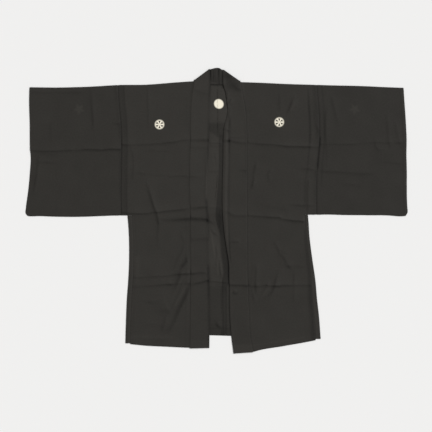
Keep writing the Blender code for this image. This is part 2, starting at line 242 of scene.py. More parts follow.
# %% The collar's sections
# Each section runs from the seam to the free edge, and `lift` raises it off the layers below.
COLLAR = {
    "right": refined(table("seam_x seam_y free_x free_y lift", """
        -79.5 446 -26 485.6 1.3, -80 434.2 -23.5 449.7 1.3, -83.1 416.9 -24.5 425.6 1.2,
        -86.6 391 -25.9 391 .4, -90 339.3 -27.3 339.3 0, -91.5 242.7 -29.3 242.7 0,
        -94 150 -32.4 150 0, -94.6 98 -36 98 0, -93.4 42 -37 42 0, -92 0 -35 0 0,
        -91.2 -40 -32.6 -40 0, -90.8 -110 -31.6 -110 0, -91 -223 -30 -223 0,
        -91.8 -340 -28 -340 0, -92.6 -430 -27.1 -430 0, -93.5 -475.6 -27.6 -474.6 0
    """), "seam_x", "seam_y", CELL),
    "left": refined(table("seam_x seam_y free_x free_y lift", """
        79.5 442.8 21 483.6 1.3, 82.1 432.5 20.5 453.2 1.3, 84.6 416.9 23.6 427.3 1.2,
        86.8 402 30.4 407 .8, 89 389.3 33 391 .4, 94.6 360 37 360 0, 98 329 35.6 329 0,
        100 297.9 27.4 297.9 0, 101 277 24.2 277 0, 101.5 256.5 23 256.5 0, 101.5 170 21.6 170 0,
        101.7 100 19.6 100 0, 101.9 42 18.8 42 0, 102.2 -12 20.4 -12 0, 102.5 -60.9 24 -60.9 0,
        102.8 -100 28.6 -100 0, 103 -140 34.6 -140 0, 103.3 -160 38.2 -160 0,
        103.5 -185 41.4 -185 0, 104.5 -240 42.4 -240 0, 106 -270 43.8 -270 0,
        107 -310 43.4 -310 0, 110 -364 44.8 -364 0, 113 -430 49.4 -430 0, 124 -489 57.6 -493.5 0
    """), "seam_x", "seam_y", CELL),
}
COLLAR_NECK = refined(table("seam_x seam_y free_x free_y", """
    -79.5 446 -26 485.6, -52 441 -17 487.8, -24 436.3 -7 490, 5.5 432.7 2 490.8, 34 435.1 9 489.3,
    58 438.5 14 486.3, 79.5 442.8 21 483.6
"""), "seam_x", "seam_y", CELL)
COLLAR_SEAM = {side: reading(rows, "seam_x", "seam_y") for side, rows in COLLAR.items()}
COLLAR_EDGE = {side: reading(rows, "free_x", "free_y") for side, rows in COLLAR.items()}
COLLAR_LIFT = {side: reading(rows, "lift", "seam_y") for side, rows in COLLAR.items()}
SIDE_SEAM = {
    side: reading({"x": rows["x"] - SIGN[side] * rows["width"], "y": rows["y"]}, "x", "y")
    for side, rows in GUSSET.items()
}
print("sections of the collar:", {side: len(rows["lift"]) for side, rows in COLLAR.items()})

# %% [markdown]
# ## Where lines cross
#
# A length of cloth is a net of rows and columns. The rows follow the crosswise lines, such as the
# shoulder, each storage crease and the hem, and the columns follow the seams. Laid that way, a
# crease has a row of points right on its crest, so it stays sharp without a very fine net.

# %% Nets of crossing lines
def places(lines, at, most):
    """Places through a family of lines, from 0 at the first, at most `most` apart at `at`."""
    stops = [0.0]
    for number, (first, second) in enumerate(zip(lines, lines[1:])):
        steps = max(1, math.ceil(float(abs(first(at) - second(at))) / most - 0.25))
        stops += [number + step / steps for step in range(1, steps + 1)]
    return np.array(stops)


def spread(lines, place, at):
    """The value at `at` of whatever lies at fractional places through a family of lines."""
    values = np.array([line(at) for line in lines])
    low = np.clip(np.floor(place).astype(int), 0, len(lines) - 2)[None]
    first = np.take_along_axis(values, low, 0)[0]
    second = np.take_along_axis(values, low + 1, 0)[0]
    share = place - low[0]
    return (1 - share) * first + share * second


def crossings(crosswise, down, lengthwise, over):
    """x and y where the crosswise lines at places `down` meet the lengthwise ones at `over`."""
    down, over = np.meshgrid(down, over, indexing="ij")
    x = y = np.zeros(down.shape)
    for _ in range(8):  # each turn brings the two closer to where they meet
        x = spread(lengthwise, over, y)
        y = spread(crosswise, down, x)
    return x, y


def beside(line, *offsets, way=1):
    """Copies of a line moved by each of the offsets, or the other way where `way` is -1."""
    return [moved(line, way * offset) for offset in offsets]


def straight(value):
    """A line that stays at one value."""
    return lambda at: np.full(np.shape(at), value)


def smooth(value):
    """0 up to 0 and 1 from 1 on, with a soft rise between them."""
    value = np.clip(value, 0, 1)
    return value * value * (3 - 2 * value)


# %% [markdown]
# ## Creases
#
# The jacket was stored folded, and each fold left a ridge across it. Where it lies slack there
# are shorter, softer wrinkles too. Every one is listed as points with a height at each,
# and rises gently on the side that faces the lamp and falls steeply on the other. A noise texture
# could roughen the cloth, but it can't put a fold where a fold was.

# %% How a crease rises
GENTLE, STEEP, TOP = 12.0, 4.2, 1.2  # reach of either side of a crease, and how round its top is
CREST = 3.0  # how far the top of a crease lies from its dark foot, towards the lamp


def entries(text):
    """The entries of a table written as `heads: numbers, numbers, ...;` one after another."""
    for entry in text.split(";")[:-1]:
        heads, rows = entry.split(":")
        yield heads.split(), numbers(rows)


def creases(text):
    """Creases written as `wide dark: x y height, x y height, ...;`."""
    return [
        {"wide": float(wide), "dark": float(dark), "points": points}
        for (wide, dark), points in entries(text)
    ]


def measured(x, y, points):
    """How far each place lies from a crease, on which side, and how high the crease is there."""
    far = np.full(x.shape, np.inf)
    side, tall = np.ones(x.shape), np.zeros(x.shape)
    for (x0, y0, z0), (x1, y1, z1) in zip(points, points[1:]):
        dx, dy = x1 - x0, y1 - y0
        share = np.clip(((x - x0) * dx + (y - y0) * dy) / (dx * dx + dy * dy), 0, 1)
        away = np.hypot(x - x0 - share * dx, y - y0 - share * dy)
        closer = away < far
        far = np.where(closer, away, far)
        side = np.where(closer, np.sign(dx * (y - y0) - dy * (x - x0)), side)
        tall = np.where(closer, z0 + share * (z1 - z0), tall)
    return far, side, tall


def raised(x, y, folds, reach=1.0):
    """The height of all the creases of a piece at each place."""
    height = np.zeros(x.shape)
    for crease in folds:
        far, side, tall = measured(x, y, crease["points"])
        past = far * side - CREST * crease["wide"]
        wide = np.where(past >= 0, GENTLE, STEEP) * crease["wide"] * reach
        height += tall * np.exp((TOP - np.hypot(past, TOP)) / wide)
    return height


def swell(x, y, seed, reach, height, waves=9):
    """Slow uneven rises and hollows, as slack cloth has on a table."""
    chance = np.random.default_rng(seed)
    total = np.zeros(x.shape)
    for _ in range(waves):
        turn, phase = chance.uniform(0, 2 * math.pi, 2)
        long = reach * chance.uniform(0.6, 1.7)
        total += np.sin(2 * math.pi * (x * math.cos(turn) + y * math.sin(turn)) / long + phase)
    return height * total / math.sqrt(waves)


def slack(x, y):
    """The cloth's own unevenness, the same for all pieces so that seams match."""
    return swell(x, y, 3, 150, 0.22) + swell(x, y, 8, 55, 0.10)


# %% Creases of the sleeves
# Lines run from west to east or from north to south, so that the lamp's side is on their left.
# `dark` is how strong the painted shade at a crease's foot is. Where it is below 0, the crease gets
# a painted highlight instead.
CREASES = {}
CREASES["sleeve_right"] = creases("""
    1 .8: -650 206 1, -612 203 1.7, -560 203 1.9, -525 205 1.4, -507 206 1.8, -490 205 .8,
        -472 206 1.4, -455 209 2.3, -420 208 2.4, -395 207 2.2, -370 210 2.6, -328 209 2.5;
    .8 .8: -645 407 .6, -600 405 .9, -560 406 .5, -520 405 .9, -475 406 1, -450 405 0;
    1.4 .9: -612 191 0, -590 193 .6, -560 191 .5, -540 193 0;
    .8 1.6: -614 165 .4, -585 165 .9, -557 163 .4;
    1 1.1: -437 415 .2, -434 375 .9, -429 310 1.4, -428 284 .4;
    1 1.6: -349 431 .3, -343 400 .9, -338 365 1.1, -334 330 .7, -332 300 0;
    1 .7: -362 300 0, -346 298 1, -332 297 1.2;
    1.2 .9: -572 312 0, -574 290 .6, -575 250 .5, -572 222 0;
    .9 1.3: -616 196 0, -618 170 1, -622 130 .8, -628 95 1.2, -635 48 0;
""")
CREASES["sleeve_left"] = creases("""
    1 .6: 350 227 1, 385 227 .6, 410 227 .9, 470 227 1.2, 490 230 .4, 530 232 .5, 550 233 1,
        575 232 .7, 590 232 1, 605 231 .4, 620 232 1.2, 652 233 .4;
    1.2 1: 355 135 .5, 380 132 1, 405 132 1.1, 440 129 .8, 490 125 .8, 520 125 .9,
        538 127 .6, 550 129 0;
    .9 .6: 380 365 0, 374 335 1, 372 290 1.5, 373 260 1.2, 378 200 .5, 379 165 .3;
    1.2 1.2: 392 398 0, 396 375 .8, 410 315 .6, 419 288 0;
    1 1: 581 345 0, 587 285 .9, 589 255 .6, 593 226 .9, 597 212 0;
    .8 .7: 612 315 0, 615 290 .8, 620 262 .6, 628 232 .9;
    .8 .7: 542 236 .3, 547 217 1, 556 207 .9, 574 207 .3;
    1 .9: 572 166 .3, 625 161 .7, 642 157 0;
    1.1 1.1: 436 89 .3, 465 87 .6, 494 85 .3;
""")

# %% Creases of the right front
CREASES["body_right"] = creases("""
    1 .7: -333 226 2.2, -305 224 1.4, -280 225 .7, -250 226 1.2, -195 229 1.4, -173 232 1.9,
        -140 235 1.9, -122 241 1.3, -85 242 1;
    1 .7: -330 -8 1.4, -276 -13 2.2, -238 -12 2, -222 -8 2, -195 -7 2.1, -169 -3 2.3,
        -135 0 2.3, -112 3 1.9, -98 6 .9, -85 8 .9;
    1.5 1.6: -204 -33 .3, -185 -34 .8, -150 -34 1.2, -135 -33 1.8, -95 -30 2.4, -85 -31 2.2;
    1 1: -310 -234 .8, -278 -233 1, -252 -232 .6, -218 -229 1.1, -165 -227 1, -148 -223 1.4,
        -133 -221 2.4, -105 -220 2.4, -85 -219 2.1;
    1 1.1: -310 -265 .4, -252 -264 .5, -212 -260 1.2, -178 -257 1.5, -163 -256 2.6,
        -152 -256 1.4, -136 -254 .8, -114 -255 .4, -98 -253 1.3, -85 -253 1.6;
    1 .8: -246 101 0, -231 51 2.2, -220 13 2.6, -210 -11 2.4, -203 -42 2.2, -202 -50 .6;
    .9 1.3: -205 -45 .8, -206 -90 .7, -202 -140 0;
    .8 1.2: -126 -70 0, -122 -89 .7, -114 -112 .5, -119 -136 1, -126 -151 .9, -138 -169 .9,
        -146 -191 .5, -150 -206 0;
    1.4 1.8: -106 -150 0, -107 -176 1.7, -117 -189 2, -130 -208 .3;
    1.3 1.4: -127 -213 .8, -131 -229 1.8, -143 -263 .8, -149 -281 0;
    1.6 1.3: -90 -240 1.4, -94 -257 2.2, -102 -281 1.9, -113 -301 2.4, -124 -325 2.4,
        -134 -345 1.9, -146 -376 1.3, -160 -403 1.2, -176 -426 0;
    .8 .4: -114 -234 .6, -124 -262 1.3, -132 -286 1.1, -151 -326 .8, -159 -346 0;
    .7 -1.8: -97 -229 .3, -107 -261 .9, -141 -319 .7, -151 -344 0;
    .7 -2: -112 -228 .4, -130 -248 .8, -140 -275 .8, -152 -300 .4, -160 -320 0;
    1.2 1.5: -246 -316 .2, -228 -318 .8, -206 -320 .2;
    2.8 1.1: -206 -350 .2, -186 -352 1.1, -167 -348 1.4, -159 -344 .2;
    1.3 1.4: -179 -367 .5, -183 -386 .9, -189 -406 1, -193 -421 0;
    1.4 1.2: -250 -398 .2, -225 -396 .6, -200 -398 .3;
    .7 1.4: -241 424 .4, -240 380 .8, -237 288 .4, -237 270 0;
    .8 1.1: -272 128 .2, -262 127 1, -250 125 .4, -220 122 .4, -172 121 .3, -165 116 .9,
        -130 117 .8, -105 117 1, -85 116 .7;
    .8 1.3: -252 206 0, -225 205 .4, -172 204 .5, -150 206 0;
    .7 1.1: -301 250 0, -300 220 .5, -290 190 .6, -289 150 .8, -291 118 .6, -295 100 0;
    1.3 -2.4: -318 -434 .4, -250 -436 .6, -175 -436 .5, -140 -437 0;
""")

# %% Creases of the left front
CREASES["body_left"] = creases("""
    1 .7: 104 233 1.1, 125 230 1, 140 228 1.8, 195 225 1.3, 245 219 2.6, 275 219 2,
        300 218 2.6, 318 218 2.2, 330 217 1.2, 352 217 1;
    1 .7: 104 -19 1.4, 160 -23 1.7, 185 -25 2.4, 215 -26 2.4, 225 -32 1.4, 243 -34 2.2,
        262 -37 2.8, 285 -38 2.8, 300 -40 2.2, 310 -41 1.6;
    1 1: 108 -260 1.5, 122 -262 .9, 134 -262 2, 150 -262 .9, 170 -259 1.8, 183 -262 1.2,
        194 -262 2.6, 215 -262 2.5, 225 -260 1.9, 250 -260 1.6, 265 -260 1, 298 -260 1.1,
        345 -260 .6;
    1.1 .8: 194 -108 .4, 200 -118 .9, 207 -130 1.2, 214 -150 1, 226 -160 1.2, 236 -175 1.2,
        240 -188 1, 248 -196 2, 256 -203 .4;
    .9 1.3: 220 -140 .2, 232 -145 .7, 242 -152 0;
    .7 1.1: 244 -193 .8, 262 -192 .5, 290 -194 .6, 302 -195 0;
    .8 .3: 119 -165 0, 124 -200 .9, 117 -240 .7, 119 -275 .8, 125 -300 1.8, 127 -318 .4;
    .8 1.3: 130 -178 0, 134 -200 1.2, 132 -235 .9, 132 -262 1.6, 134 -285 .9, 139 -299 0;
    1 1.1: 210 -215 .3, 202 -237 1.3, 198 -257 1.7, 192 -277 1.8, 181 -292 1.6, 161 -302 .6,
        152 -313 0;
    .8 .6: 178 -241 0, 172 -257 1.6, 162 -275 .9, 150 -297 .3;
    .7 -1.2: 185 -261 .2, 171 -275 .8, 153 -299 .7, 148 -318 0;
    .8 1.5: 265 -206 0, 264 -235 1.1, 263 -262 .5, 264 -310 .5, 263 -322 0;
    .9 .8: 268 400 .2, 262 388 .9, 256 370 1.9, 249 352 1.9, 236 324 0;
    .6 -1.7: 273 385 0, 265 362 .7, 255 345 .7, 247 334 0;
    1 1.1: 214 408 .2, 214 380 .8, 214 352 .8, 215 340 0;
    .9 1.1: 134 172 0, 131 150 1.5, 126 128 .9, 125 105 1.3, 121 88 1.9, 119 70 0;
    1 .9: 187 149 0, 181 137 1, 174 124 1.1, 178 104 .7, 173 92 0;
    1.1 1: 302 142 1, 318 141 1.4, 334 137 .6, 343 131 0;
    1 .6: 312 112 0, 314 98 1.2, 311 70 1.2, 312 5 1.3;
    1 1.3: 341 130 1.2, 345 100 1.3, 340 62 1.5, 342 30 1.1, 343 -5 1.1;
    .8 .6: 240 19 .3, 262 18 .9, 280 17 1.6, 300 16 1.5, 322 16 .9;
    .9 .7: 336 350 0, 334 330 .8, 338 300 .6, 344 285 1, 350 270 .8;
    1.8 .6: 112 36 0, 150 21 .3, 200 6 .5, 238 1 .5, 255 7 0;
    .6 -3: 100 -470 .4, 230 -450 .5, 300 -438 .5;
""")

# %% Creases of the collar
CREASES["collar_right"] = creases("""
    1.2 1: -94 241 1.2, -70 241 1.3, -45 241 2.2, -26 242 1.8;
    1.3 1.1: -94 215 .6, -26 215 .7;
    1 1: -94 9 .6, -80 6 1.5, -62 9 2.1, -45 10 2.1, -34 9 1;
    1.5 1.9: -94 -29 2, -75 -30 2.2, -62 -31 1.8, -50 -31 2, -38 -33 2.3, -30 -36 2.2;
    1.5 .9: -94 -102 1, -62 -100 .9, -30 -100 1.1;
    .9 1.2: -94 -219 2.2, -80 -219 2.2, -62 -216 1.5, -48 -216 1.6, -34 -219 .3;
    1 1.1: -90 -259 .5, -75 -253 1.6, -62 -251 2.2, -48 -247 1.9, -38 -244 2.4, -26 -243 2.5;
    .9 1.5: -94 115 .7, -70 115 .6, -50 111 .2;
    1.3 .8: -84 417 .3, -64 409 .7, -28 399 .3;
    .6 .9: -43 235 0, -40 150 .6, -39 60 .5, -40 20 .3;
""")
CREASES["collar_left"] = creases("""
    1 1.3: 22 240 1.6, 30 239 1.6, 42 239 2.6, 50 238 1.4, 66 234 1.4, 80 232 1.3, 95 231 .9,
        112 231 1;
    1 .8: 16 -3 .4, 30 -5 .7, 38 -7 1.6, 48 -16 1.3, 62 -20 1.5, 112 -21 1.4;
    .9 1.2: 40 -258 1.9, 60 -259 2, 85 -259 1.8, 104 -261 2.4, 116 -261 1.4;
    1.4 1: 59 427 .6, 67 417 1.7, 84 413 1.2, 100 415 .9, 112 419 .6;
    .8 .7: 38 420 0, 33 402 1.3, 33 388 1.5, 38 380 .3;
    .6 1.8: 52 388 0, 46 380 1.4, 42 372 1.2, 38 366 .3;
    .8 .9: 30 374 1.2, 33 370 2.4, 33 358 1.5, 39 350 .6;
    .7 .9: 43 350 .4, 41 330 .8, 43 305 1, 46 285 .8, 46 270 0;
    .8 1.4: 52 258 .2, 48 250 1.3, 62 250 .7, 90 251 .4;
    .7 1.7: 27 279 .5, 37 275 1.2, 44 269 .3;
    .8 1: 78 137 .4, 92 137 1.3, 104 137 1.3, 112 136 .8;
    .6 1: 50 -107 .3, 55 -109 1.3, 70 -109 1.3, 79 -109 .2;
    1 1.7: 53 -279 0, 57 -284 1.6, 66 -287 1.4, 75 -281 .4;
""")

# %% Creases inside the back
CREASES["inside_back"] = creases("""
    .6 .7: -34 232 .9, 7 231 1.2, 20 230 .8;
    .7 .6: -34 -246 1.2, -10 -246 1.4, 10 -248 1.4, 44 -251 .8;
    .6 1.3: -34 223 .6, 0 222 .9, 24 223 .8;
    .6 1.4: -7 204 0, -7 185 1, -1 150 0;
    .5 -2.4: -17 204 0, -15 185 .8, -12 165 .8, -9 150 0;
    .6 1.3: -30 135 .3, -16 133 1, 2 135 1;
    .6 1.7: -34 7 .4, -16 6 .9, 0 7 .9;
    .7 1.6: -37 -31 1.8, -29 -38 2, -18 -42 1, -6 -45 .4;
    .6 1.8: -30 -71 .3, -20 -67 .6, -15 -77 1.4, -2 -85 .7, 5 -93 .2;
    .7 -3.5: -27 -60 .3, -21 -80 1.3, -12 -130 1, -8 -158 1, -8 -182 0;
    .6 -2.7: -20 -165 0, -19 -185 .8, -18 -205 0;
    .5 1.8: -4 -118 0, -3 -132 1, 0 -158 1.2, -1 -188 .8, -3 -197 0;
    .6 -3.4: 0 -150 0, 0 -172 1, 1 -199 1.4, 3 -218 1.4, 4 -228 0;
    .5 2.4: 8 -165 0, 8 -182 1.2, 9 -203 1.2, 12 -220 1.2, 13 -238 0;
    .5 -1.9: 13 -170 0, 13 -190 1, 15 -212 1, 17 -230 0;
    .5 -2.2: -24 -259 .8, -14 -260 .9, -6 -263 0;
    .9 1.8: -3 -384 .4, -1 -396 1.8, 8 -403 1.2, 16 -405 .4;
""")
print("creases:", {name: len(folds) for name, folds in CREASES.items()})

# %% [markdown]
# ## Tones
#
# The silk is sheer. Where a seam allowance or a hem lies beneath, the cloth is a shade darker, and
# where there is only one layer over the pale table it is a shade lighter. Other tones are painted
# light and shade: painted shade at the foot of each crease, in the seams' grooves, in the hollow of
# the collar's roll and beside its free edges, and painted highlights on light creases and on the
# roll. These tones are stored on the points of each mesh, as a share to add to or take from the
# cloth's colour. Most of them run beside a line of the cut, so each is an entry in a table: the
# line, how far in from it and how wide the tone is, and then its strength for each y.

# %% How tones are laid on
FOOT = 4.6  # how wide the painted shade at the foot of a crease is
FULL = 2.6  # the height from which a crease's painted shade gets no darker


def shades(text):
    """Tones written as `line offset width: y tone, y tone, ...;`."""
    return [
        (line, float(offset), float(width), *np.transpose(rows))
        for (line, offset, width), rows in entries(text)
    ]


def band(distance, width):
    """1 on a line and 0 a width away from it, with soft sides."""
    return np.exp(-((distance / width) ** 2))


def blob(x, y, x0, y0, wide, high):
    """1 at a place, fading to 0 about a width or a height away from it."""
    return band(x - x0, wide) * band(y - y0, high)


def shaded(rows, y, **lines):
    """The sum of the tones, from the distance to each line and how strong it is there."""
    total = np.zeros(y.shape)
    for line, offset, width, at, tones in rows:
        distance, share = lines[line]
        total += np.interp(y, at, tones) * share * band(distance - offset, width)
    return total


def painted_crease_shade(x, y, folds, dark=0.11):
    """Painted shade at the foot of each crease, and a painted highlight where a crease's `dark` is
    below 0.
    """
    total = np.zeros(x.shape)
    for crease in folds:
        far, _, tall = measured(x, y, crease["points"])
        strength = dark * crease["dark"] * np.clip(tall, 0, FULL)
        total -= strength * band(far, FOOT * crease["wide"])
    return total


# %% Tones of the fronts
# `cloth` is the whole surface, `doubled` what lies over the allowance of the armhole, `pressed` an
# old line beside it and `lap` a layer that shows from beneath. `foot` is where the collar's roll
# begins and `roll` the rest of it. On the back, `middle` is the line x = 0.
SHADES = {}
# The dark tones along the armhole, the side seam and the collar's seam are partly the allowances
# beneath and partly painted shade in the seams' grooves.
SHADES["body_right"] = shades("""
    cloth 0 1: -480 .04, -300 .06, 0 .08, 150 .08, 430 .1;
    doubled 0 1: 0 -.21;
    armhole 1 3.8: 150 -.12, 210 -.14, 250 -.2, 330 -.1, 430 0;
    armhole 7 2: 0 .1;
    armhole 21 2.4: 0 -.1;
    side 2 3: 0 .08;
    side 8.5 2.2: 0 -.07;
    side 13 9: -260 0, -249 .13, -163 .13, -152 0;
    collar 1 3.4: 0 -.1;
    collar 16.5 2.4: -37 -.1, -23 0, 287 0, 301 -.1, 383 -.1, 397 0;
    hem 0 2: 0 -.12;
    hem 4.5 2.5: 0 .06;
""")
SHADES["body_left"] = shades("""
    cloth 0 1: -480 .05, -300 .04, 150 .04, 430 .06;
    doubled 0 1: 219 0, 261 -.21;
    armhole 1 3.8: 0 -.12, 130 -.2, 150 -.46, 210 -.46, 250 -.24, 330 -.14, 430 -.08;
    pressed 0 3.6: 4 0, 26 -.16, 150 -.16, 200 -.2, 250 -.42, 350 -.42, 413 -.22, 427 0;
    lap 0 1: -88 -.3, -32 0;
    collar 1 3.4: 0 -.26;
    hem 0 2: 0 -.12;
    hem 4.5 2.5: 0 .06;
""")

# %% Tones inside the back
# On the back, the tones beside the collar's free edges are painted shade where the band's edge lies
# on the back. Near the neck on the wearer's left they are a painted highlight that lightens the
# shadow there.
SHADES["inside_back"] = shades("""
    cloth 0 1: -430 -.13, -405 -.11, -385 -.05, -265 -.03, -255 .07, -210 .13, -175 .25,
        -120 .29, -75 .17, -50 .11, -20 .07, 10 .27;
    shadow 0 1: 296 -.34, 308 0;
    lap 0 1: -430 -.1, -300 -.12, -240 -.4, -200 -.54, -110 -.64, -60 -.54, 60 -.46, 248 -.44,
        264 0;
    centre 0 2.4: -242 -.2, -228 0;
    neck .5 3: 0 -1;
    left_edge 1 4: -300 -.24, -260 -.46, -235 -.66, -165 -.6, -130 -.34, 0 -.08, 230 -.1,
        334 0, 342 .3, 418 .3, 424 0;
    right_edge 0 4: -300 -.5, -240 -1, 130 -1, 160 -.3, 320 -.3, 400 -.8;
    middle 31 2.5: -272 -.16, -264 0;
    middle 36 2.5: -272 .06, -264 0;
    hem 10 2.2: 0 .22;
    hem 14 1.8: 0 -.22;
    hem 18 2: 0 .22;
    hem 22 2: 0 -.16;
""")

# %% Tones of the sleeves, gussets and collar
# The dark tones along the armhole are partly the allowance beneath and partly painted shade in the
# seam's groove.
SHADES["sleeve_right"] = shades("""
    armhole 0 3.2: 0 -.2, 300 -.14, 420 -.05;
    armhole 2.5 3.5: 36 0, 64 -.14, 306 -.14, 334 0;
    armhole 8 3.5: 246 0, 274 -.08;
    cuff 10.5 1.8: 0 -.06;
    cuff 4 3: 0 .05;
    bottom 6 3.5: 0 .05;
""")
SHADES["sleeve_left"] = shades("""
    cloth 0 1: 0 -.03;
    armhole 0 3.2: 0 -.2, 300 -.14, 420 -.05;
    armhole 2.5 2.8: 140 0, 150 -.42, 248 -.42, 260 0;
    armhole 17 3.2: 69 0, 111 -.16;
    cuff 10.5 1.8: 0 -.06;
    cuff 4 3: 0 .05;
    bottom 6 3.5: 0 .05;
""")
SHADES["gusset_right"] = shades("cloth 0 1: 0 .08;")
SHADES["gusset_left"] = shades("cloth 0 1: 0 .08; share .25 .2: -256 .26, -194 0;")
# On the collar, the tones along the free edges are painted shade, except near the neck on the
# wearer's left, where a painted highlight lightens the roll's shadow. `foot` is painted shade in
# the hollow at the foot of the roll, and `roll` is a painted highlight on the roll.
SHADES["collar_right"] = shades("""
    cloth 0 1: -451 .13, -445 0, -200 .04, 100 .12, 200 .16, 442 .16, 450 .13;
    right_edge .5 3.8: 0 -1;
""")
SHADES["collar_left"] = shades("""
    cloth 0 1: -465 .18, -459 .02, -200 .04, 100 .09, 200 .12;
    foot 0 2.8: -190 0, -165 -.4, -110 -.4, -60 -.28, 190 -.28, 212 -.52, 240 -.52, 300 -.3,
        330 0;
    seam 2.5 4: 99 0, 141 -.12, 304 -.12, 326 0;
    roll 0 1: -141 0, -99 .1, 304 .1, 326 0;
    edge 0 2: -34 -.1, -6 0;
    edge 0 2.5: 334 0, 342 .2, 418 .2, 424 0;
""")

# Painted shade along the free edge of the band on the wearer's right, on the band and on the back
# beside it, for each y. Where it is below 0 it is a painted highlight.
RIGHT_EDGE_SHADE = reading(table("y tone", """
    -430 .3, -310 .34, -290 .5, -200 .46, -180 .14, -50 .16, -35 .5, 30 .4, 45 -.1, 60 -.24,
    100 -.2, 150 .1, 190 .34, 235 .46, 290 .38, 320 .2, 430 .4
"""), "tone", "y")
print("tones:", {name: len(rows) for name, rows in SHADES.items()})

# %% [markdown]
# ## Sewing nets into pieces
#
# A piece is made of one or more nets of points. Neighbouring nets share the points on their
# common edge, and welding them there makes one cloth. The silk is then given its thickness, so
# that every edge has two faces and a rim, like cut or folded cloth, and isn't a bare sheet.

# %% Nets
EAST, NORTH, UP = np.eye(3)
ALL = slice(None)


def over_shoulder(x, y):
    """Where a place on the back lies in the uncut cloth, whose front half lies as drawn."""
    return x, 2 * SHOULDER(x) - y


class Net:
    """Rows of points of one piece, with its place in the uncut cloth and its tone at each."""

    def __init__(self, points, cut, tone=0.0, kept=True):
        self.points, self.cut = points, cut
        self.tone = np.broadcast_to(tone, points.shape[:2])
        self.kept = np.broadcast_to(kept, points.shape[:2])

    def edge(self, rows, columns):
        """The points, the cut and the tone along an edge."""
        return self.points[rows, columns], self.cut[rows, columns], self.tone[rows, columns]


def layer(x, y, z, tone=0.0, kept=True, cut=None):
    """A net of one layer of cloth, whose place in the uncut cloth is its own unless given."""
    x, y, z = np.broadcast_arrays(x, y, z)
    return Net(np.stack([x, y, z], -1), np.stack(cut or (x, y), -1), tone, kept)


print("the middle of the back lies in the uncut cloth at", np.round(over_shoulder(0, 0), 1))

# %% Sewing
SILK = 0.36  # thickness of a layer of silk


def sewn(name, nets, finish):
    """One piece of cloth from its nets, riding on the garment in place of its solid."""
    faces, start = [], 0
    for net in nets:
        number = np.arange(net.kept.size).reshape(net.kept.shape)
        corners = np.stack(
            [number[:-1, :-1], number[:-1, 1:], number[1:, 1:], number[1:, :-1]], -1
        )
        faces.append(start + corners[net.kept.ravel()[corners].all(-1)])
        start += net.kept.size
    used, faces = np.unique(np.concatenate(faces), return_inverse=True)
    faces = faces.reshape(-1, 4)
    points = np.concatenate([net.points.reshape(-1, 3) for net in nets])[used] * MM
    cut = np.concatenate([net.cut.reshape(-1, 2) for net in nets])[used] * MM
    tone = np.concatenate([net.tone.ravel() for net in nets])[used]
    flat = bpy.data.meshes.new(name)
    flat.from_pydata(points.tolist(), [], faces.tolist())
    flat.attributes.new("tone", "FLOAT", "POINT").data.foreach_set("value", tone)
    flat.uv_layers.new(name="cut").data.foreach_set("uv", cut[faces.ravel()].ravel())
    flat.materials.append(finish)
    welded = bmesh.new()
    welded.from_mesh(flat)
    bmesh.ops.remove_doubles(welded, verts=welded.verts, dist=0.01 * MM)
    bmesh.ops.recalc_face_normals(welded, faces=welded.faces)
    welded.to_mesh(flat)
    welded.free()
    piece = bpy.data.objects.new(f"silk_{name}", flat)
    bpy.context.scene.collection.objects.link(piece)
    wall = piece.modifiers.new("silk", "SOLIDIFY")
    wall.thickness = SILK * MM
    wall.offset = 0.0
    bpy.context.view_layer.update()
    cloth = piece.evaluated_get(bpy.context.evaluated_depsgraph_get())
    piece.data = bpy.data.meshes.new_from_object(cloth)
    piece.modifiers.clear()
    piece.data.shade_smooth()
    piece.data.set_sharp_from_angle(angle=math.radians(55))
    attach(piece, "root")
    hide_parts(name)
    heights = [vertex.co.z / MM for vertex in piece.data.vertices]
    print(
        f"{name}: {len(piece.data.polygons) * 2} triangles,"
        f" from {min(heights):.2f} to {max(heights):.2f} mm high"
    )
    return piece


# %% [markdown]
# ## The silk
#
# Men's formal haori silk is dyed a deep, slightly warm black, with fine crosswise ribs and only a
# soft lustre. A rough surface with a little sheen gives that lustre, a ripple in the bump gives
# the ribs, and slow noise gives the uneven tone of hand-dyed cloth.
#
# The crests are reserved in the dye, so they are drawn in the colour and aren't a layer of
# their own. Each is a plain roundel here, with a hemp-leaf star of generic design.

# %% Sums on shader sockets
class Signal:
    """An output of a shader node. Sums written on it add the Math nodes that work them out."""

    def __init__(self, tree, socket):
        self.tree, self.socket = tree, socket

    def node(self, kind, settings=None, inputs=None, output=0):
        """A new node of the same shader: its settings first, then its inputs."""
        made = self.tree.nodes.new(kind)
        for name, value in (settings or {}).items():
            setattr(made, name, value)
        for name, value in (inputs or {}).items():
            if isinstance(value, Signal):
                self.tree.links.new(value.socket, made.inputs[name])
            else:
                made.inputs[name].default_value = value
        return Signal(self.tree, made.outputs[output])

    def math(self, operation, *values):
        return self.node("ShaderNodeMath", {"operation": operation}, dict(enumerate(values)))

    def applied(self, operation):
        """A root, a sine or a cosine of this."""
        return self.math(operation, self)

    def __add__(self, other):
        return self.math("ADD", self, other)

    def __sub__(self, other):
        return self.math("SUBTRACT", self, other)

    def __rsub__(self, other):
        return self.math("SUBTRACT", other, self)

    def __mul__(self, other):
        return self.math("MULTIPLY", self, other)

    def __truediv__(self, other):
        return self.math("DIVIDE", self, other)

    __radd__, __rmul__ = __add__, __mul__

    def clipped(self):
        return self.node("ShaderNodeClamp", None, {"Value": self})

    def mixed(self, first, second):
        """The first colour where this is 0, and the second where it is 1."""
        return self.node("ShaderNodeMix", {"data_type": "RGBA"}, {0: self, 6: first, 7: second}, 2)


# %% Crests
CREST_ACROSS = 38.0
CHEST_CRESTS = [(-198.5, 296.1), (214.4, 304.2)]
SLEEVE_CRESTS = [(-475.4, 349.0), (474.4, 349.0)]  # on the back, so they lie underneath
BACK_CREST = (6.0, 367.2)


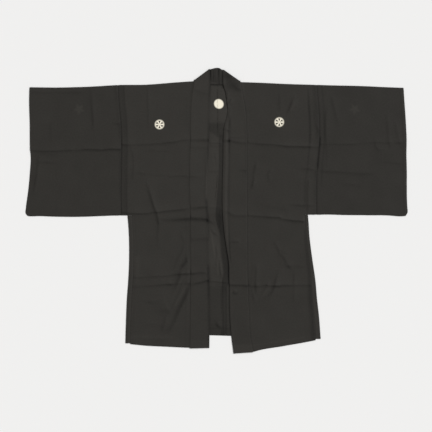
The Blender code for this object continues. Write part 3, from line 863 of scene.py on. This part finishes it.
def roundel(u, v, x, y):
    """Distance from the middle of a crest, as a share of its radius, and the turn round it."""
    east, north = u - x * MM, v - y * MM
    far = (east * east + north * north).applied("SQRT")
    return far / (CREST_ACROSS / 2 * MM), north.math("ARCTAN2", north, east)


def disc(far):
    """1 on a crest, fading to 0 between 0.75 and 0.95 of its radius."""
    return ((0.95 - far) * 5.0).clipped()


def crest(far, turn):
    """A disc with a six-rayed star and a thin ring drawn in it."""
    star = (turn * 6.0).applied("COSINE")
    rays = ((far * 2.6 - 1.12 - star) * 3.0).clipped() * ((0.72 - far) * 10.0).clipped()
    ring = ((far - 0.76) * 16.0).clipped() * ((0.86 - far) * 16.0).clipped()
    return disc(far) * (1 - 0.98 * (rays + ring * 0.7).clipped())


def ghost(far, turn):
    """The faint star of a crest that shows through from the layer below."""
    star = (turn * 5.0 + 2.2).applied("COSINE")
    return ((0.95 + star * 0.25 - far) * 1.6).clipped() * 0.009


print("crests:", len(CHEST_CRESTS + SLEEVE_CRESTS) + 1)

# %% Silk
DYE = (0.0283, 0.0264, 0.0232)
CREST_WHITE = (0.90, 0.845, 0.70)
RIB = 2.2  # from one rib of the weave to the next
CLOUDS, SLUBS = (14.0, 3.0), (190.0, 2.0)  # scale and detail of the slow and the fine noise


def silk(name, crests=(), plain=(), ghosts=()):
    """Black ribbed silk, with crests at places in the uncut cloth."""
    finish = bpy.data.materials.new(name)
    finish.use_nodes = True
    tree = finish.node_tree
    start = Signal(tree, None)
    place = start.node("ShaderNodeUVMap", {"uv_map": "cut"})
    u = start.node("ShaderNodeSeparateXYZ", None, {0: place})
    v = Signal(tree, u.socket.node.outputs[1])
    tone = start.node("ShaderNodeAttribute", {"attribute_name": "tone"}, output=2)
    cloud, slub = (
        start.node("ShaderNodeTexNoise", None, {"Vector": place, "Scale": scale, "Detail": detail})
        for scale, detail in (CLOUDS, SLUBS)
    )
    colour, white = (
        start.node("ShaderNodeVectorMath", {"operation": "SCALE"}, {0: base, "Scale": depth})
        for base, depth in (
            (DYE, 1 + tone + 0.21 * (cloud - 0.5) + 0.40 * (slub - 0.5)),
            (CREST_WHITE, 1 + 0.10 * (slub - 0.5)),
        )
    )
    shown = [crest(*roundel(u, v, *middle)) for middle in crests]
    shown += [disc(roundel(u, v, *middle)[0]) for middle in plain]
    shown += [ghost(*roundel(u, v, *middle)) for middle in ghosts]
    if shown:
        colour = sum(shown[1:], shown[0]).clipped().mixed(colour, white)
    ribs = (v * (2 * math.pi / RIB / MM)).applied("SINE")
    weave = {"Height": ribs * 0.5 + slub * 0.6, "Strength": 0.25, "Distance": 0.12 * MM}
    bump = start.node("ShaderNodeBump", None, weave)
    shader = tree.nodes["Principled BSDF"].inputs
    tree.links.new(colour.socket, shader["Base Color"])
    tree.links.new(bump.socket, shader["Normal"])
    shader["Roughness"].default_value = 0.62
    shader["Specular IOR Level"].default_value = 0.10
    shader["Sheen Weight"].default_value = 0.02
    shader["Sheen Roughness"].default_value = 0.5
    return finish


black_silk = silk(
    "black_silk",
    crests=CHEST_CRESTS + [over_shoulder(*place) for place in SLEEVE_CRESTS],
    plain=[over_shoulder(*BACK_CREST)],
    ghosts=SLEEVE_CRESTS,
)
collar_silk = silk("collar_silk")
print("nodes in the silk:", len(black_silk.node_tree.nodes))

# %% [markdown]
# ## Levels
#
# The layers lie on each other: the back on the table, the front on it, and the doubled collar on
# the back beside the fronts. Each layer has its own level, and seams dip to where the stitches
# hold the layers together.

# %% Levels
Z_BACK = 0.30
Z_FRONT = 2.0
Z_LAP = 0.85  # an edge that runs on beneath its neighbour
Z_EDGE = 1.45  # the folded edge that lies over it
Z_NECK = 1.15  # the middle of the collar behind the neck
Z_COLLAR = 2.45  # the middle of the collar down the fronts
Z_SEWN = 0.80  # the back, where an allowance lies beneath its seams
LAP = 6.0  # how far a layer runs on beneath its neighbour
TURNED = 10.0  # width of a folded allowance
HEM, BACK_TURN = 12.0, 22.0  # how far the hems of the fronts and of the back turn up
UNDER = 0.5  # depth of an allowance below its layer
SEAM_REACH = 4.0  # how far from a seam the cloth begins to dip


def dipped(z, distance, low, reach=SEAM_REACH):
    """Heights that fall to a low line at a seam, from a reach away from it."""
    return z + (low - z) * (1 - smooth(distance / reach))


def turned(edge, inward, width, drop, steps=3):
    """A net for the allowance that folds round an edge and lies back beneath it or on it."""
    points, cut, tone = edge
    away = np.array([0.0, -0.45, -0.35, 0.8] + [width * k / steps for k in range(1, steps + 1)])
    down = np.array([0.0, 0.25, 0.75, 1.0] + [1.0] * steps) * drop
    away, down = away[None, :, None], down[None, :, None]
    return Net(
        points[:, None] + away * inward + down * UP,
        cut[:, None] - np.abs(away) * inward[:2],
        tone[:, None],
    )


def folded(over, under, outward, kept=True, turns=6):
    """A net of the half-round fold from each point of one edge to the point under it."""
    angle = np.linspace(0, math.pi, turns + 1)[:, None, None]
    share = angle / math.pi
    radius = np.abs(over[0][:, 2] - under[0][:, 2])[:, None] / 2
    round_it = radius * (outward * np.sin(angle) + UP * np.cos(angle))
    return Net(
        (over[0] + under[0]) / 2 + round_it,
        over[1] * (1 - share) + under[1] * share,
        over[2] * (1 - share[..., 0]) + under[2] * share[..., 0],
        kept,
    )


# %% [markdown]
# ## The body
#
# Each half of the body is a single length of cloth that runs from the front hem over the shoulder
# to the back hem, with no shoulder seam. So it is one net here too: the front, the fold over the
# shoulder and the back. Below the armpit it narrows to the side seam, and beside the neck the
# back has more columns, which reach in to the seam down the middle.

# %% Crosswise creases


def ridge(crease):
    """A crease as a crosswise line."""
    x, y, _ = np.transpose(crease["points"])
    return reading({"x": x, "y": y}, "y", "x")


def rows_by(line, above=(12.0, 7.5, 5.0, 3.7, 3.0, 2.3, 1.2), below=(1.2, 3.6, 7.0)):
    """Close rows on both sides of a crease."""
    return [*beside(line, *above, 0.0), *beside(line, *below, way=-1)]


print("rows beside a crease:", len(rows_by(SHOULDER)))

# %% Height and tone of the front
SEWN_EDGE = 9.0  # how far from the collar's seam the front begins to rise to it


def sides(side, x, y):
    """How far in from the armhole and from the side seam, and 1 below the armpit."""
    to_armhole, to_side = ((line[side](y) - x) * SIGN[side] for line in (ARMHOLE, SIDE_SEAM))
    return to_armhole, to_side, smooth((ARMPIT[side](x) + 4 - y) / 8)


def front_surface(side, x, y):
    """Height and tone of the front of the body."""
    name = f"body_{side}"
    to_armhole, to_side, below = sides(side, x, y)
    to_collar = (x - COLLAR_SEAM[side](y)) * SIGN[side]
    to_hem = y - FRONT_HEM[side](x)
    z = Z_FRONT + raised(x, y, CREASES[name]) + slack(x, y)
    z = z + 0.3 * (1 - smooth((to_hem - HEM) / 2.0))  # the turned hem lies beneath
    z = dipped(z, to_armhole, Z_LAP)
    z = z + below * (dipped(z, to_side, Z_EDGE) - z)
    z = dipped(z, to_collar, Z_COLLAR + COLLAR_LIFT[side](y), SEWN_EDGE)
    z = z - 0.4 * (1 - smooth(to_hem / 2.5))
    last, soft = (25.5, 3.0) if side == "right" else (24.0, 16.0)
    doubled = (1 - below) * smooth(to_armhole + 1) * smooth((last - to_armhole) / soft)
    old_line = np.interp(y, [8, 87, 156, 225, 363, 422], [41, 40, 33, 33, 33, 32])
    lap = np.interp(y, [-430, -300, -200, -60], [16, 16, 9, 6])
    tone = painted_crease_shade(x, y, CREASES[name]) + shaded(
        SHADES[name], y, cloth=(0, 1), doubled=(0, doubled), armhole=(to_armhole, 1 - below),
        side=(to_side, below), collar=(to_collar, 1), hem=(to_hem, 1),
        pressed=(to_armhole - old_line, 1), lap=(0, below * (1 - smooth(to_side / lap - 0.4))),
    )
    return z, tone


def at_place(surface, side, x, y):
    """The height and the tone of a surface at one place."""
    return [round(float(value[0]), 2) for value in surface(side, *np.array([[x], [y]], float))]


print("left chest:", *at_place(front_surface, "left", 200, 250))

# %% Height and tone of the back
def back_surface(side, x, y):
    """Height and tone of the back of the body, seen from its inside."""
    to_armhole, to_side, below = sides(side, x, y)
    past_centre = x - CENTRE_BACK(y)
    aside = np.maximum(np.abs(x - 1.0) - 80.5, 0)
    to_neck = np.hypot(np.maximum(BACK_NECK(x) - y, 0), aside)
    from_right = x - COLLAR_EDGE["right"](y)
    from_left = COLLAR_EDGE["left"](y) - x
    folds = CREASES["inside_back"]
    between = smooth((from_right - 3) / 7) * smooth((from_left - 3) / 7)
    z = Z_BACK + between * (0.15 + raised(x, y, folds, 0.9))
    z = dipped(z, to_armhole, Z_SEWN)
    z = z + below * (dipped(z, to_side, Z_SEWN) - z)
    z = dipped(z, to_neck, Z_NECK, 12.0)
    if side == "right":
        z = dipped(z, -past_centre, Z_SEWN, 3.0)
    shadow = smooth((y + 0.6 * np.clip(x + 28, 0, 34) - 268) / 10)
    soft = np.interp(y, [-240, -215, -95, -60], [4, 11, 11, 4])
    ends = np.interp(y, [-262, -225], [17, 40])
    lap = smooth((past_centre + 2.5) / soft) * smooth((ends - past_centre) / 3)
    tone = painted_crease_shade(x, y, folds) + shaded(
        SHADES["inside_back"], y, cloth=(0, 1), shadow=(0, shadow), lap=(0, lap),
        centre=(past_centre, 1), neck=(to_neck, 0.56 + 0.24 * smooth((4 - x) / 8)),
        left_edge=(from_left, 1), right_edge=(from_right, RIGHT_EDGE_SHADE(y)), middle=(x, 1),
        hem=(y - BACK_HEM(x), 1),
    )
    # A painted shadow in the strip beside the collar's edge, and painted shade beside the left
    # band's edge at the neck.
    tone = tone - 0.12 * blob(x, y, 10, -20, 5, 60) - 0.6 * blob(x, y, 18.6, 427, 3, 6)
    return z, tone


print("back below the neck:", *at_place(back_surface, "left", 6, 300))

# %% The front of a body length
CHEST_X, CHEST_Y = 190.0, 200.0  # where the cells of the body are measured out
SEAM_COLUMN, SIDE_COLUMN = 2, 5  # places of the armhole's seam and of the side seam
NECK_COLUMNS = (8.0, 4.0, 1.5, 0.0)


def outer_columns(side):
    """The lengthwise lines of a body length that follow the armhole and the side seam."""
    return [
        *beside(ARMHOLE[side], -LAP, -2.0, 0.0, 1.6, 3.6, way=-SIGN[side]),
        *beside(SIDE_SEAM[side], 0.0, 1.4, 3.0, 5.0, way=-SIGN[side]),
    ]


def body_front(side):
    """The front of one body length, its allowance under the collar and its columns' places."""
    lengthwise = outer_columns(side)
    lengthwise += beside(COLLAR_SEAM[side], *NECK_COLUMNS, way=SIGN[side])
    folds = CREASES[f"body_{side}"]
    if side == "right":
        first, second, double, low, lowest = map(ridge, folds[:5])
        high_rows = rows_by(first) + rows_by(second, below=(1.2, 3.6))
        low_rows = rows_by(double, above=(5.0, 3.0, 1.2)) + rows_by(low) + rows_by(lowest)
    else:
        first, middle, low = map(ridge, folds[:3])
        high_rows = rows_by(first)
        low_rows = rows_by(middle) + rows_by(low)
    crosswise = [SHOULDER, *high_rows, ARMPIT[side], *low_rows]
    armpit = 1 + len(high_rows)
    crosswise += beside(FRONT_HEM[side], HEM + 3, HEM + 1, HEM - 1, 3.0, 1.0, 0.0)
    over = places(lengthwise, CHEST_Y, CELL)
    down = places(crosswise, CHEST_X * SIGN[side], CELL)
    x, y = crossings(crosswise, down, lengthwise, over)
    whole = (down <= armpit)[:, None] | (over >= SIDE_COLUMN)[None]
    front = layer(x, y, *front_surface(side, x, y), whole)
    allowance = beside(COLLAR_SEAM[side], 0.0, 3.0, 8.0, way=-SIGN[side])
    x, y = crossings(crosswise, down, allowance, np.arange(3.0))
    return front, layer(x, y, *front_surface(side, x, y), y < 440), over


print("columns that follow the armhole and the side seam:", len(outer_columns("left")))

# %% The back of a body length
BACK_CELL = 1.4 * CELL  # coarser, as only a strip of the back shows


def body_back(side, shoulder, over):
    """The back of one body length: its outer part, the part by the neck, and its allowance."""
    neck_x = shoulder[-1, 0]

    def top(at):
        return np.where((neck_x - at) * SIGN[side] > 0, BACK_NECK(at), SHOULDER(at))

    first, second = (rows_by(ridge(crease)) for crease in CREASES["inside_back"][:2])
    crosswise = [top, *beside(top, -2.0, -6.0), *first]
    armpit = len(crosswise)
    crosswise += [ARMPIT[side], *second, *beside(BACK_HEM, BACK_TURN + 2, BACK_TURN, 20.0, 0.0)]
    down = places(crosswise, CHEST_X * SIGN[side], BACK_CELL)
    by_neck = beside(straight(neck_x), *NECK_COLUMNS, way=SIGN[side])
    x, y = crossings(crosswise, down, outer_columns(side) + by_neck, over)
    x[0], y[0] = shoulder[:, 0], shoulder[:, 1]
    whole = (down <= armpit)[:, None] & (over >= SEAM_COLUMN)[None]
    whole = whole | (over >= SIDE_COLUMN)[None]
    outer = layer(x, y, *back_surface(side, x, y), whole, over_shoulder(x, y))
    lengthwise = [by_neck[-1], *beside(CENTRE_BACK, 5.0, 2.0, 0.8, 0.0, way=SIGN[side])]
    if side == "left":
        lengthwise.append(moved(CENTRE_BACK, -LAP))
    over = places(lengthwise, 0.0, CELL)
    x, y = crossings(crosswise, down, lengthwise, over)
    inner = layer(x, y, *back_surface(side, x, y), True, over_shoulder(x, y))
    x, y = crossings(beside(BACK_NECK, 7.0, 0.0), np.linspace(0, 1, 3), lengthwise, over)
    return outer, inner, layer(x, y, Z_NECK, cut=over_shoulder(x, y))


# %% The body
def body(side):
    """One length of the body, with the turned hems at both its ends."""
    front, tucked, over = body_front(side)
    back, by_neck, tucked_neck = body_back(side, front.points[0], over)
    inside = slice(int(np.argmax(over >= SIDE_COLUMN)), None)
    nets = [
        front,
        tucked,
        folded(front.edge(0, ALL), back.edge(0, ALL), NORTH, over >= SEAM_COLUMN),
        back,
        by_neck,
        tucked_neck,
        turned(front.edge(-1, inside), NORTH, HEM, -UNDER),
        turned(back.edge(-1, inside), NORTH, BACK_TURN, UNDER),
        turned(by_neck.edge(-1, ALL), NORTH, BACK_TURN, UNDER),
    ]
    return sewn(f"body_{side}", nets, black_silk)


bodies = {side: body(side) for side in SIGN}

# %% [markdown]
# ## The sleeves
#
# A sleeve is a wide tube, folded along its top and sewn along its bottom. At the wrist the mouth
# stays open down to the hand, and below it the two layers are sewn together. The tube is made of
# a front net and a back net with half-round folds between them.

# %% Height and tone of a sleeve
def sleeve_surface(side, x, y):
    """Height and tone of the front of a sleeve."""
    name = f"sleeve_{side}"
    to_armhole = (x - ARMHOLE[side](y)) * SIGN[side]
    to_cuff = (CUFF[side](y) - x) * SIGN[side]
    to_bottom = y - SLEEVE_BOTTOM[side](x)
    z = Z_FRONT + raised(x, y, CREASES[name]) + slack(x, y)
    z = z + 0.25 * (1 - smooth((to_cuff - TURNED) / 2.0))  # the turned cuff lies beneath
    z = dipped(z, to_armhole, Z_EDGE)
    z = z - 0.3 * (1 - smooth(to_cuff / 3.0)) - 0.3 * (1 - smooth(to_bottom / 5.0))
    tone = painted_crease_shade(x, y, CREASES[name]) + shaded(
        SHADES[name], y, cloth=(0, 1), armhole=(to_armhole, 1), cuff=(to_cuff, 1),
        bottom=(to_bottom, 1),
    )
    return z, tone


print("top of the left sleeve:", *at_place(sleeve_surface, "left", 500, 410))

# %% The sleeves
SLEEVE_X, SLEEVE_Y = 450.0, 200.0  # where the cells of a sleeve are measured out


def sleeve(side):
    """One sleeve, with its turned mouth and the allowance at the armhole."""
    outward = SIGN[side] * EAST
    lengthwise = beside(CUFF[side], 0.0, 1.2, 3.0, TURNED - 1, TURNED + 1, way=-SIGN[side])
    lengthwise += beside(ARMHOLE[side], 6.0, 3.5, 1.6, 0.0, way=SIGN[side])
    over = places(lengthwise, SLEEVE_Y, CELL)
    crease = ridge(CREASES[f"sleeve_{side}"][0])
    crosswise = [SHOULDER, moved(SHOULDER, -2.0), *rows_by(crease)]
    mouth = len(crosswise)
    crosswise += [straight(MOUTH_END[side]), *beside(SLEEVE_BOTTOM[side], 5.0, 2.0, 0.0)]
    down = places(crosswise, SLEEVE_X * SIGN[side], CELL)
    x, y = crossings(crosswise, down, lengthwise, over)
    front = layer(x, y, *sleeve_surface(side, x, y))
    back = layer(x, y, Z_BACK, cut=over_shoulder(x, y))
    lap = beside(ARMHOLE[side], 0.0, LAP, way=-SIGN[side])
    x, y = crossings(crosswise, down, lap, np.linspace(0, 1, 3))
    back_lap = layer(x, y, Z_BACK, cut=over_shoulder(x, y))

    mouth_rows, sewn_rows = down <= mouth, down >= mouth
    below = np.tile(-NORTH, (len(over), 1))
    beyond = np.tile(outward, (sewn_rows.sum(), 1))
    below[0] = beyond[-1] = (outward - NORTH) / math.sqrt(2)  # the corner below the cuff
    nets = [
        front,
        back,
        back_lap,
        folded(front.edge(0, ALL), back.edge(0, ALL), NORTH),
        folded(front.edge(-1, ALL), back.edge(-1, ALL), below),
        folded(front.edge(sewn_rows, 0), back.edge(sewn_rows, 0), beyond),
        turned(front.edge(mouth_rows, 0), -outward, TURNED, -UNDER),
        turned(back.edge(mouth_rows, 0), -outward, TURNED, UNDER),
        turned(front.edge(ALL, -1), outward, TURNED, -0.3),
    ]
    return sewn(f"sleeve_{side}", nets, black_silk)


sleeves = {side: sleeve(side) for side in SIGN}

# %% [markdown]
# ## The side gussets
#
# A narrow wedge of cloth joins the front to the back below each armpit. Laid flat it folds down
# its middle, and the fold is the outline of the jacket there.

# %% The gussets
GUSSET_TOP = 1.75  # the level of a gusset's upper half


def gusset(side):
    """One side gusset, from its edge under the front round its fold to the edge beneath."""
    rows, outward = GUSSET[side], SIGN[side] * EAST
    radius = (GUSSET_TOP - Z_BACK) / 2
    fold = (rows["x"] - SIGN[side] * radius)[:, None]
    seam = (rows["x"] - SIGN[side] * rows["width"])[:, None]
    share = np.array([-0.34, -0.08, 0.0, 0.12, 0.28, 0.5, 0.75, 0.9, 1.0])[None]
    x = seam + (fold - seam) * share
    y = np.broadcast_to(rows["y"][:, None], x.shape)
    arch = 0.15 * np.sin(math.pi * np.clip(share, 0, 1))
    loose = slack(x, y) * smooth(share * 2) * smooth((1 - share) * 4)
    z = Z_LAP + (GUSSET_TOP - Z_LAP) * smooth((share + 0.05) / 0.4) + arch + loose
    tone = shaded(SHADES[f"gusset_{side}"], y, cloth=(0, 1), share=(share, 1))
    front = layer(x, y, z, tone)
    back = layer(x, y, Z_BACK, tone, cut=(2 * rows["x"][:, None] - x, y))
    nets = [front, folded(front.edge(ALL, -1), back.edge(ALL, -1), outward), back]
    return sewn(f"gusset_{side}", nets, black_silk)


gussets = {side: gusset(side) for side in SIGN}

# %% [markdown]
# ## The collar
#
# The collar is one long band, doubled and turned out along its length. It lies on the back beside
# each front, folds over at the sides of the neck, and runs behind it. It is drawn as sections
# across the band, placed along its whole length. Its free edge was never pressed hard, so on
# the wearer's left it stands up as a soft roll that throws a shadow on the back.

# %% How the collar rolls
ROLL = {  # height of the free edge's roll, and how far in it reaches
    "right": table("y high reach", "-476 .2 9, 486 .2 9"),
    "left": table("y high reach", """
        -493 .3 9, -190 .3 7, -165 .7 6, -140 1 8, -110 1.2 12, -60 1.4 17, 20 1.7 20, 130 1.8 20,
        236 1.9 19, 262 1.9 18, 300 .8 15, 340 .4 12, 400 .3 12, 484 .3 12
    """),
}


def wall_offsets(side, points, to_edge, out):
    """How much higher than flat the upper wall of the band lies, and its tone."""
    x, y = points[..., 0], points[..., 1]
    high = reading(ROLL[side], "high", "y")(y)
    reach = reading(ROLL[side], "reach", "y")(y)
    past_foot = reach - to_edge
    t = past_foot / reach
    rise = high * (smooth(t / 0.66) - 0.65 * smooth((t - 0.66) / 0.34))
    valley = 0.10 * high * band(past_foot, 2.5)
    name = f"collar_{side}"
    offset = rise - valley + raised(x, y, CREASES[name]) + 0.8 * slack(x, y)
    tone = painted_crease_shade(x, y, CREASES[name]) + shaded(
        SHADES[name], y, cloth=(0, 1), foot=(past_foot, 1), seam=(out, 1),
        roll=(0, smooth(past_foot / 3 - 1)), edge=(to_edge, 1),
        right_edge=(to_edge, RIGHT_EDGE_SHADE(y)),
    )
    if side == "left":  # shadows at the side of the neck, and a dent in the roll
        # Painted shadows at the side of the neck, a painted highlight on the fold beside them, and
        # painted shade in the dent of the roll.
        tone = tone - 0.50 * blob(x, y, 40, 464, 26, 18) - 0.36 * blob(x, y, 55, 430, 28, 17)
        tone = tone + 0.22 * blob(x, y, 26, 444, 5, 9) - 0.35 * blob(x, y, 41, 239, 5, 5)
        offset = offset - 1.0 * blob(x, y, 41, 239, 5, 4)
    return offset, tone


# %% Across the band
HALF = 0.65  # from the middle of the doubled band to either wall
UNDER_COLUMNS = 16  # columns of points in the band's under wall


def band_net(seam, free, normal, side=None):
    """A net across the band: in from the seam on one wall, round the free edge, and back."""
    across_band = free - seam
    width = np.linalg.norm(across_band, axis=1)[:, None]
    reach = across_band / width
    inset = np.array([5.0, 0.6, -0.2, 0.25])
    lowered = np.array([-0.5, -0.5, -0.25, -0.04])
    share = np.array([0.03, 0.06, 0.1, *np.linspace(0.15, 0.80, 12), *np.linspace(0.84, 1, 6)])
    out = np.concatenate([np.broadcast_to(inset, (len(seam), 4)), share * width], 1)
    level = np.concatenate([lowered, np.zeros(len(share))])[None] + np.zeros(out.shape)
    upper = seam[:, None] + out[..., None] * reach[:, None]
    tone = np.zeros(out.shape)
    if side:
        offset, tone = wall_offsets(side, upper, width - out, out)
        level = level + offset * smooth(out / 3.0 + 0.4)
    top = upper + (HALF + level)[..., None] * normal[:, None]
    end_lift = level[:, -1:]
    turn = np.linspace(0, math.pi, 9)[1:-1][None]
    tall = (2 * HALF + end_lift) / 2
    wide = np.maximum(HALF, 0.75 * tall)
    edge = (
        free[:, None]
        + (normal * end_lift / 2)[:, None]
        + (wide * np.sin(turn))[..., None] * reach[:, None]
        + (tall * np.cos(turn))[..., None] * normal[:, None]
    )
    back = np.linspace(1.0, 0.0, UNDER_COLUMNS)[None] * width
    under = seam[:, None] + back[..., None] * reach[:, None] - HALF * normal[:, None]
    points = np.concatenate([top, edge, under], 1)
    over_band = np.concatenate([out, width + turn * HALF, 2 * width + 2 - back], 1)
    tones = np.concatenate(
        [tone, np.repeat(tone[:, -1:], edge.shape[1], 1), np.zeros(back.shape)], 1
    )
    return points, over_band, tones


# %% Along the band
DROOP = 0.95  # how far the free edge hangs below the seam
Z_TURN = Z_COLLAR + 1.3  # the middle of the band where it begins to turn behind the neck


def laid(rows, z, droop=0.0):
    """Points along the seam and the free edge of the band, which droops onto the back."""
    lift = rows.get("lift", np.zeros(len(rows["seam_x"])))
    droop = droop * (1 - smooth(lift / 1.2))
    seam = np.stack([rows["seam_x"], rows["seam_y"], z + lift], 1)
    free = np.stack([rows["free_x"], rows["free_y"], z + lift - droop], 1)
    return seam, free


def neck_turn(side, steps=12):
    """The sections round the slanting fold at the side of the neck."""
    seam, free = (line[0] for line in laid(COLLAR[side], 0.0))
    seam[2] = free[2] = (Z_TURN + Z_NECK) / 2
    reach = free - seam
    outward = np.array([reach[1], -reach[0], 0.0]) / np.linalg.norm(reach) * SIGN[side]
    turn = np.linspace(0, math.pi, steps + 1)[1:-1, None]
    normal = outward * np.sin(turn) + UP * np.cos(turn)
    shift = normal * (Z_TURN - Z_NECK) / 2
    return seam + shift, free + shift, normal


# %% The collar
NECK_RAYS = creases("""
    .6 1: -22 484 .9, -22 460 1.2, -24 440 .8;
    .5 1: -12 486 .4, -12 462 .9, -13 440 .3;
    .4 1: -6 487 .2, -6 462 .5, -4 440 .2;
    .6 1: 6 489 1.7, 6 474 1.4, 6 450 .5, 8 436 .6;
    .6 1: 17 482 .3, 18 460 .8, 20 436 1.2;
""")


def collar():
    """The band from the right hem, round the neck, to the left hem."""
    walls = {}
    for side in SIGN:
        seam, free = laid(COLLAR[side], Z_COLLAR, DROOP)
        walls[side] = band_net(seam, free, np.broadcast_to(UP, seam.shape), side)
    turns = {side: band_net(*neck_turn(side)) for side in SIGN}
    seam, free = laid(COLLAR_NECK, Z_NECK)
    neck = band_net(seam, free, np.broadcast_to(-UP, seam.shape))
    wall, _, tone = (part[:, -UNDER_COLUMNS:] for part in neck)  # it faces up behind the neck
    x, y = wall[..., 0], wall[..., 1]
    wall[..., 2] += raised(x, y, NECK_RAYS, 0.8)
    at_ends = smooth((-19 - x) / 5) * smooth((y - 440) / 9)
    tone += painted_crease_shade(x, y, NECK_RAYS, 0.28) - 0.12 - 0.45 * at_ends - 0.45 * band(y - 433.5, 2.2)
    tone += (0.16 + 0.26 * smooth((4 - x) / 10)) * band(y - 438.2, 2.0)
    parts = [
        [part[::-1] for part in walls["right"]],
        turns["right"],
        neck,
        [part[::-1] for part in turns["left"]],
        walls["left"],
    ]
    points, over_band, tones = (np.concatenate(same) for same in zip(*parts))
    steps = np.linalg.norm(np.diff(points[:, 8], axis=0), axis=1)
    run = np.concatenate([[0.0], np.cumsum(steps)])[:, None]
    print(f"collar band {run.max():.0f} mm long")
    cut = np.stack(np.broadcast_arrays(over_band, run), -1)
    return sewn("collar", [Net(points, cut, tones)], collar_silk)


collar_band = collar()

# %% [markdown]
# ## How much cloth each piece takes
#
# The area of each piece's cloth is printed.

# %% Cloth areas
def cloth_area(piece):
    """Half the surface of a thin piece, in square metres."""
    return sum(face.area for face in piece.data.polygons) / 2


for piece in [*bodies.values(), *sleeves.values(), *gussets.values(), collar_band]:
    print(piece.name, f"{cloth_area(piece):.4f} square metres")


# %% Update the scene
bpy.context.view_layer.update()
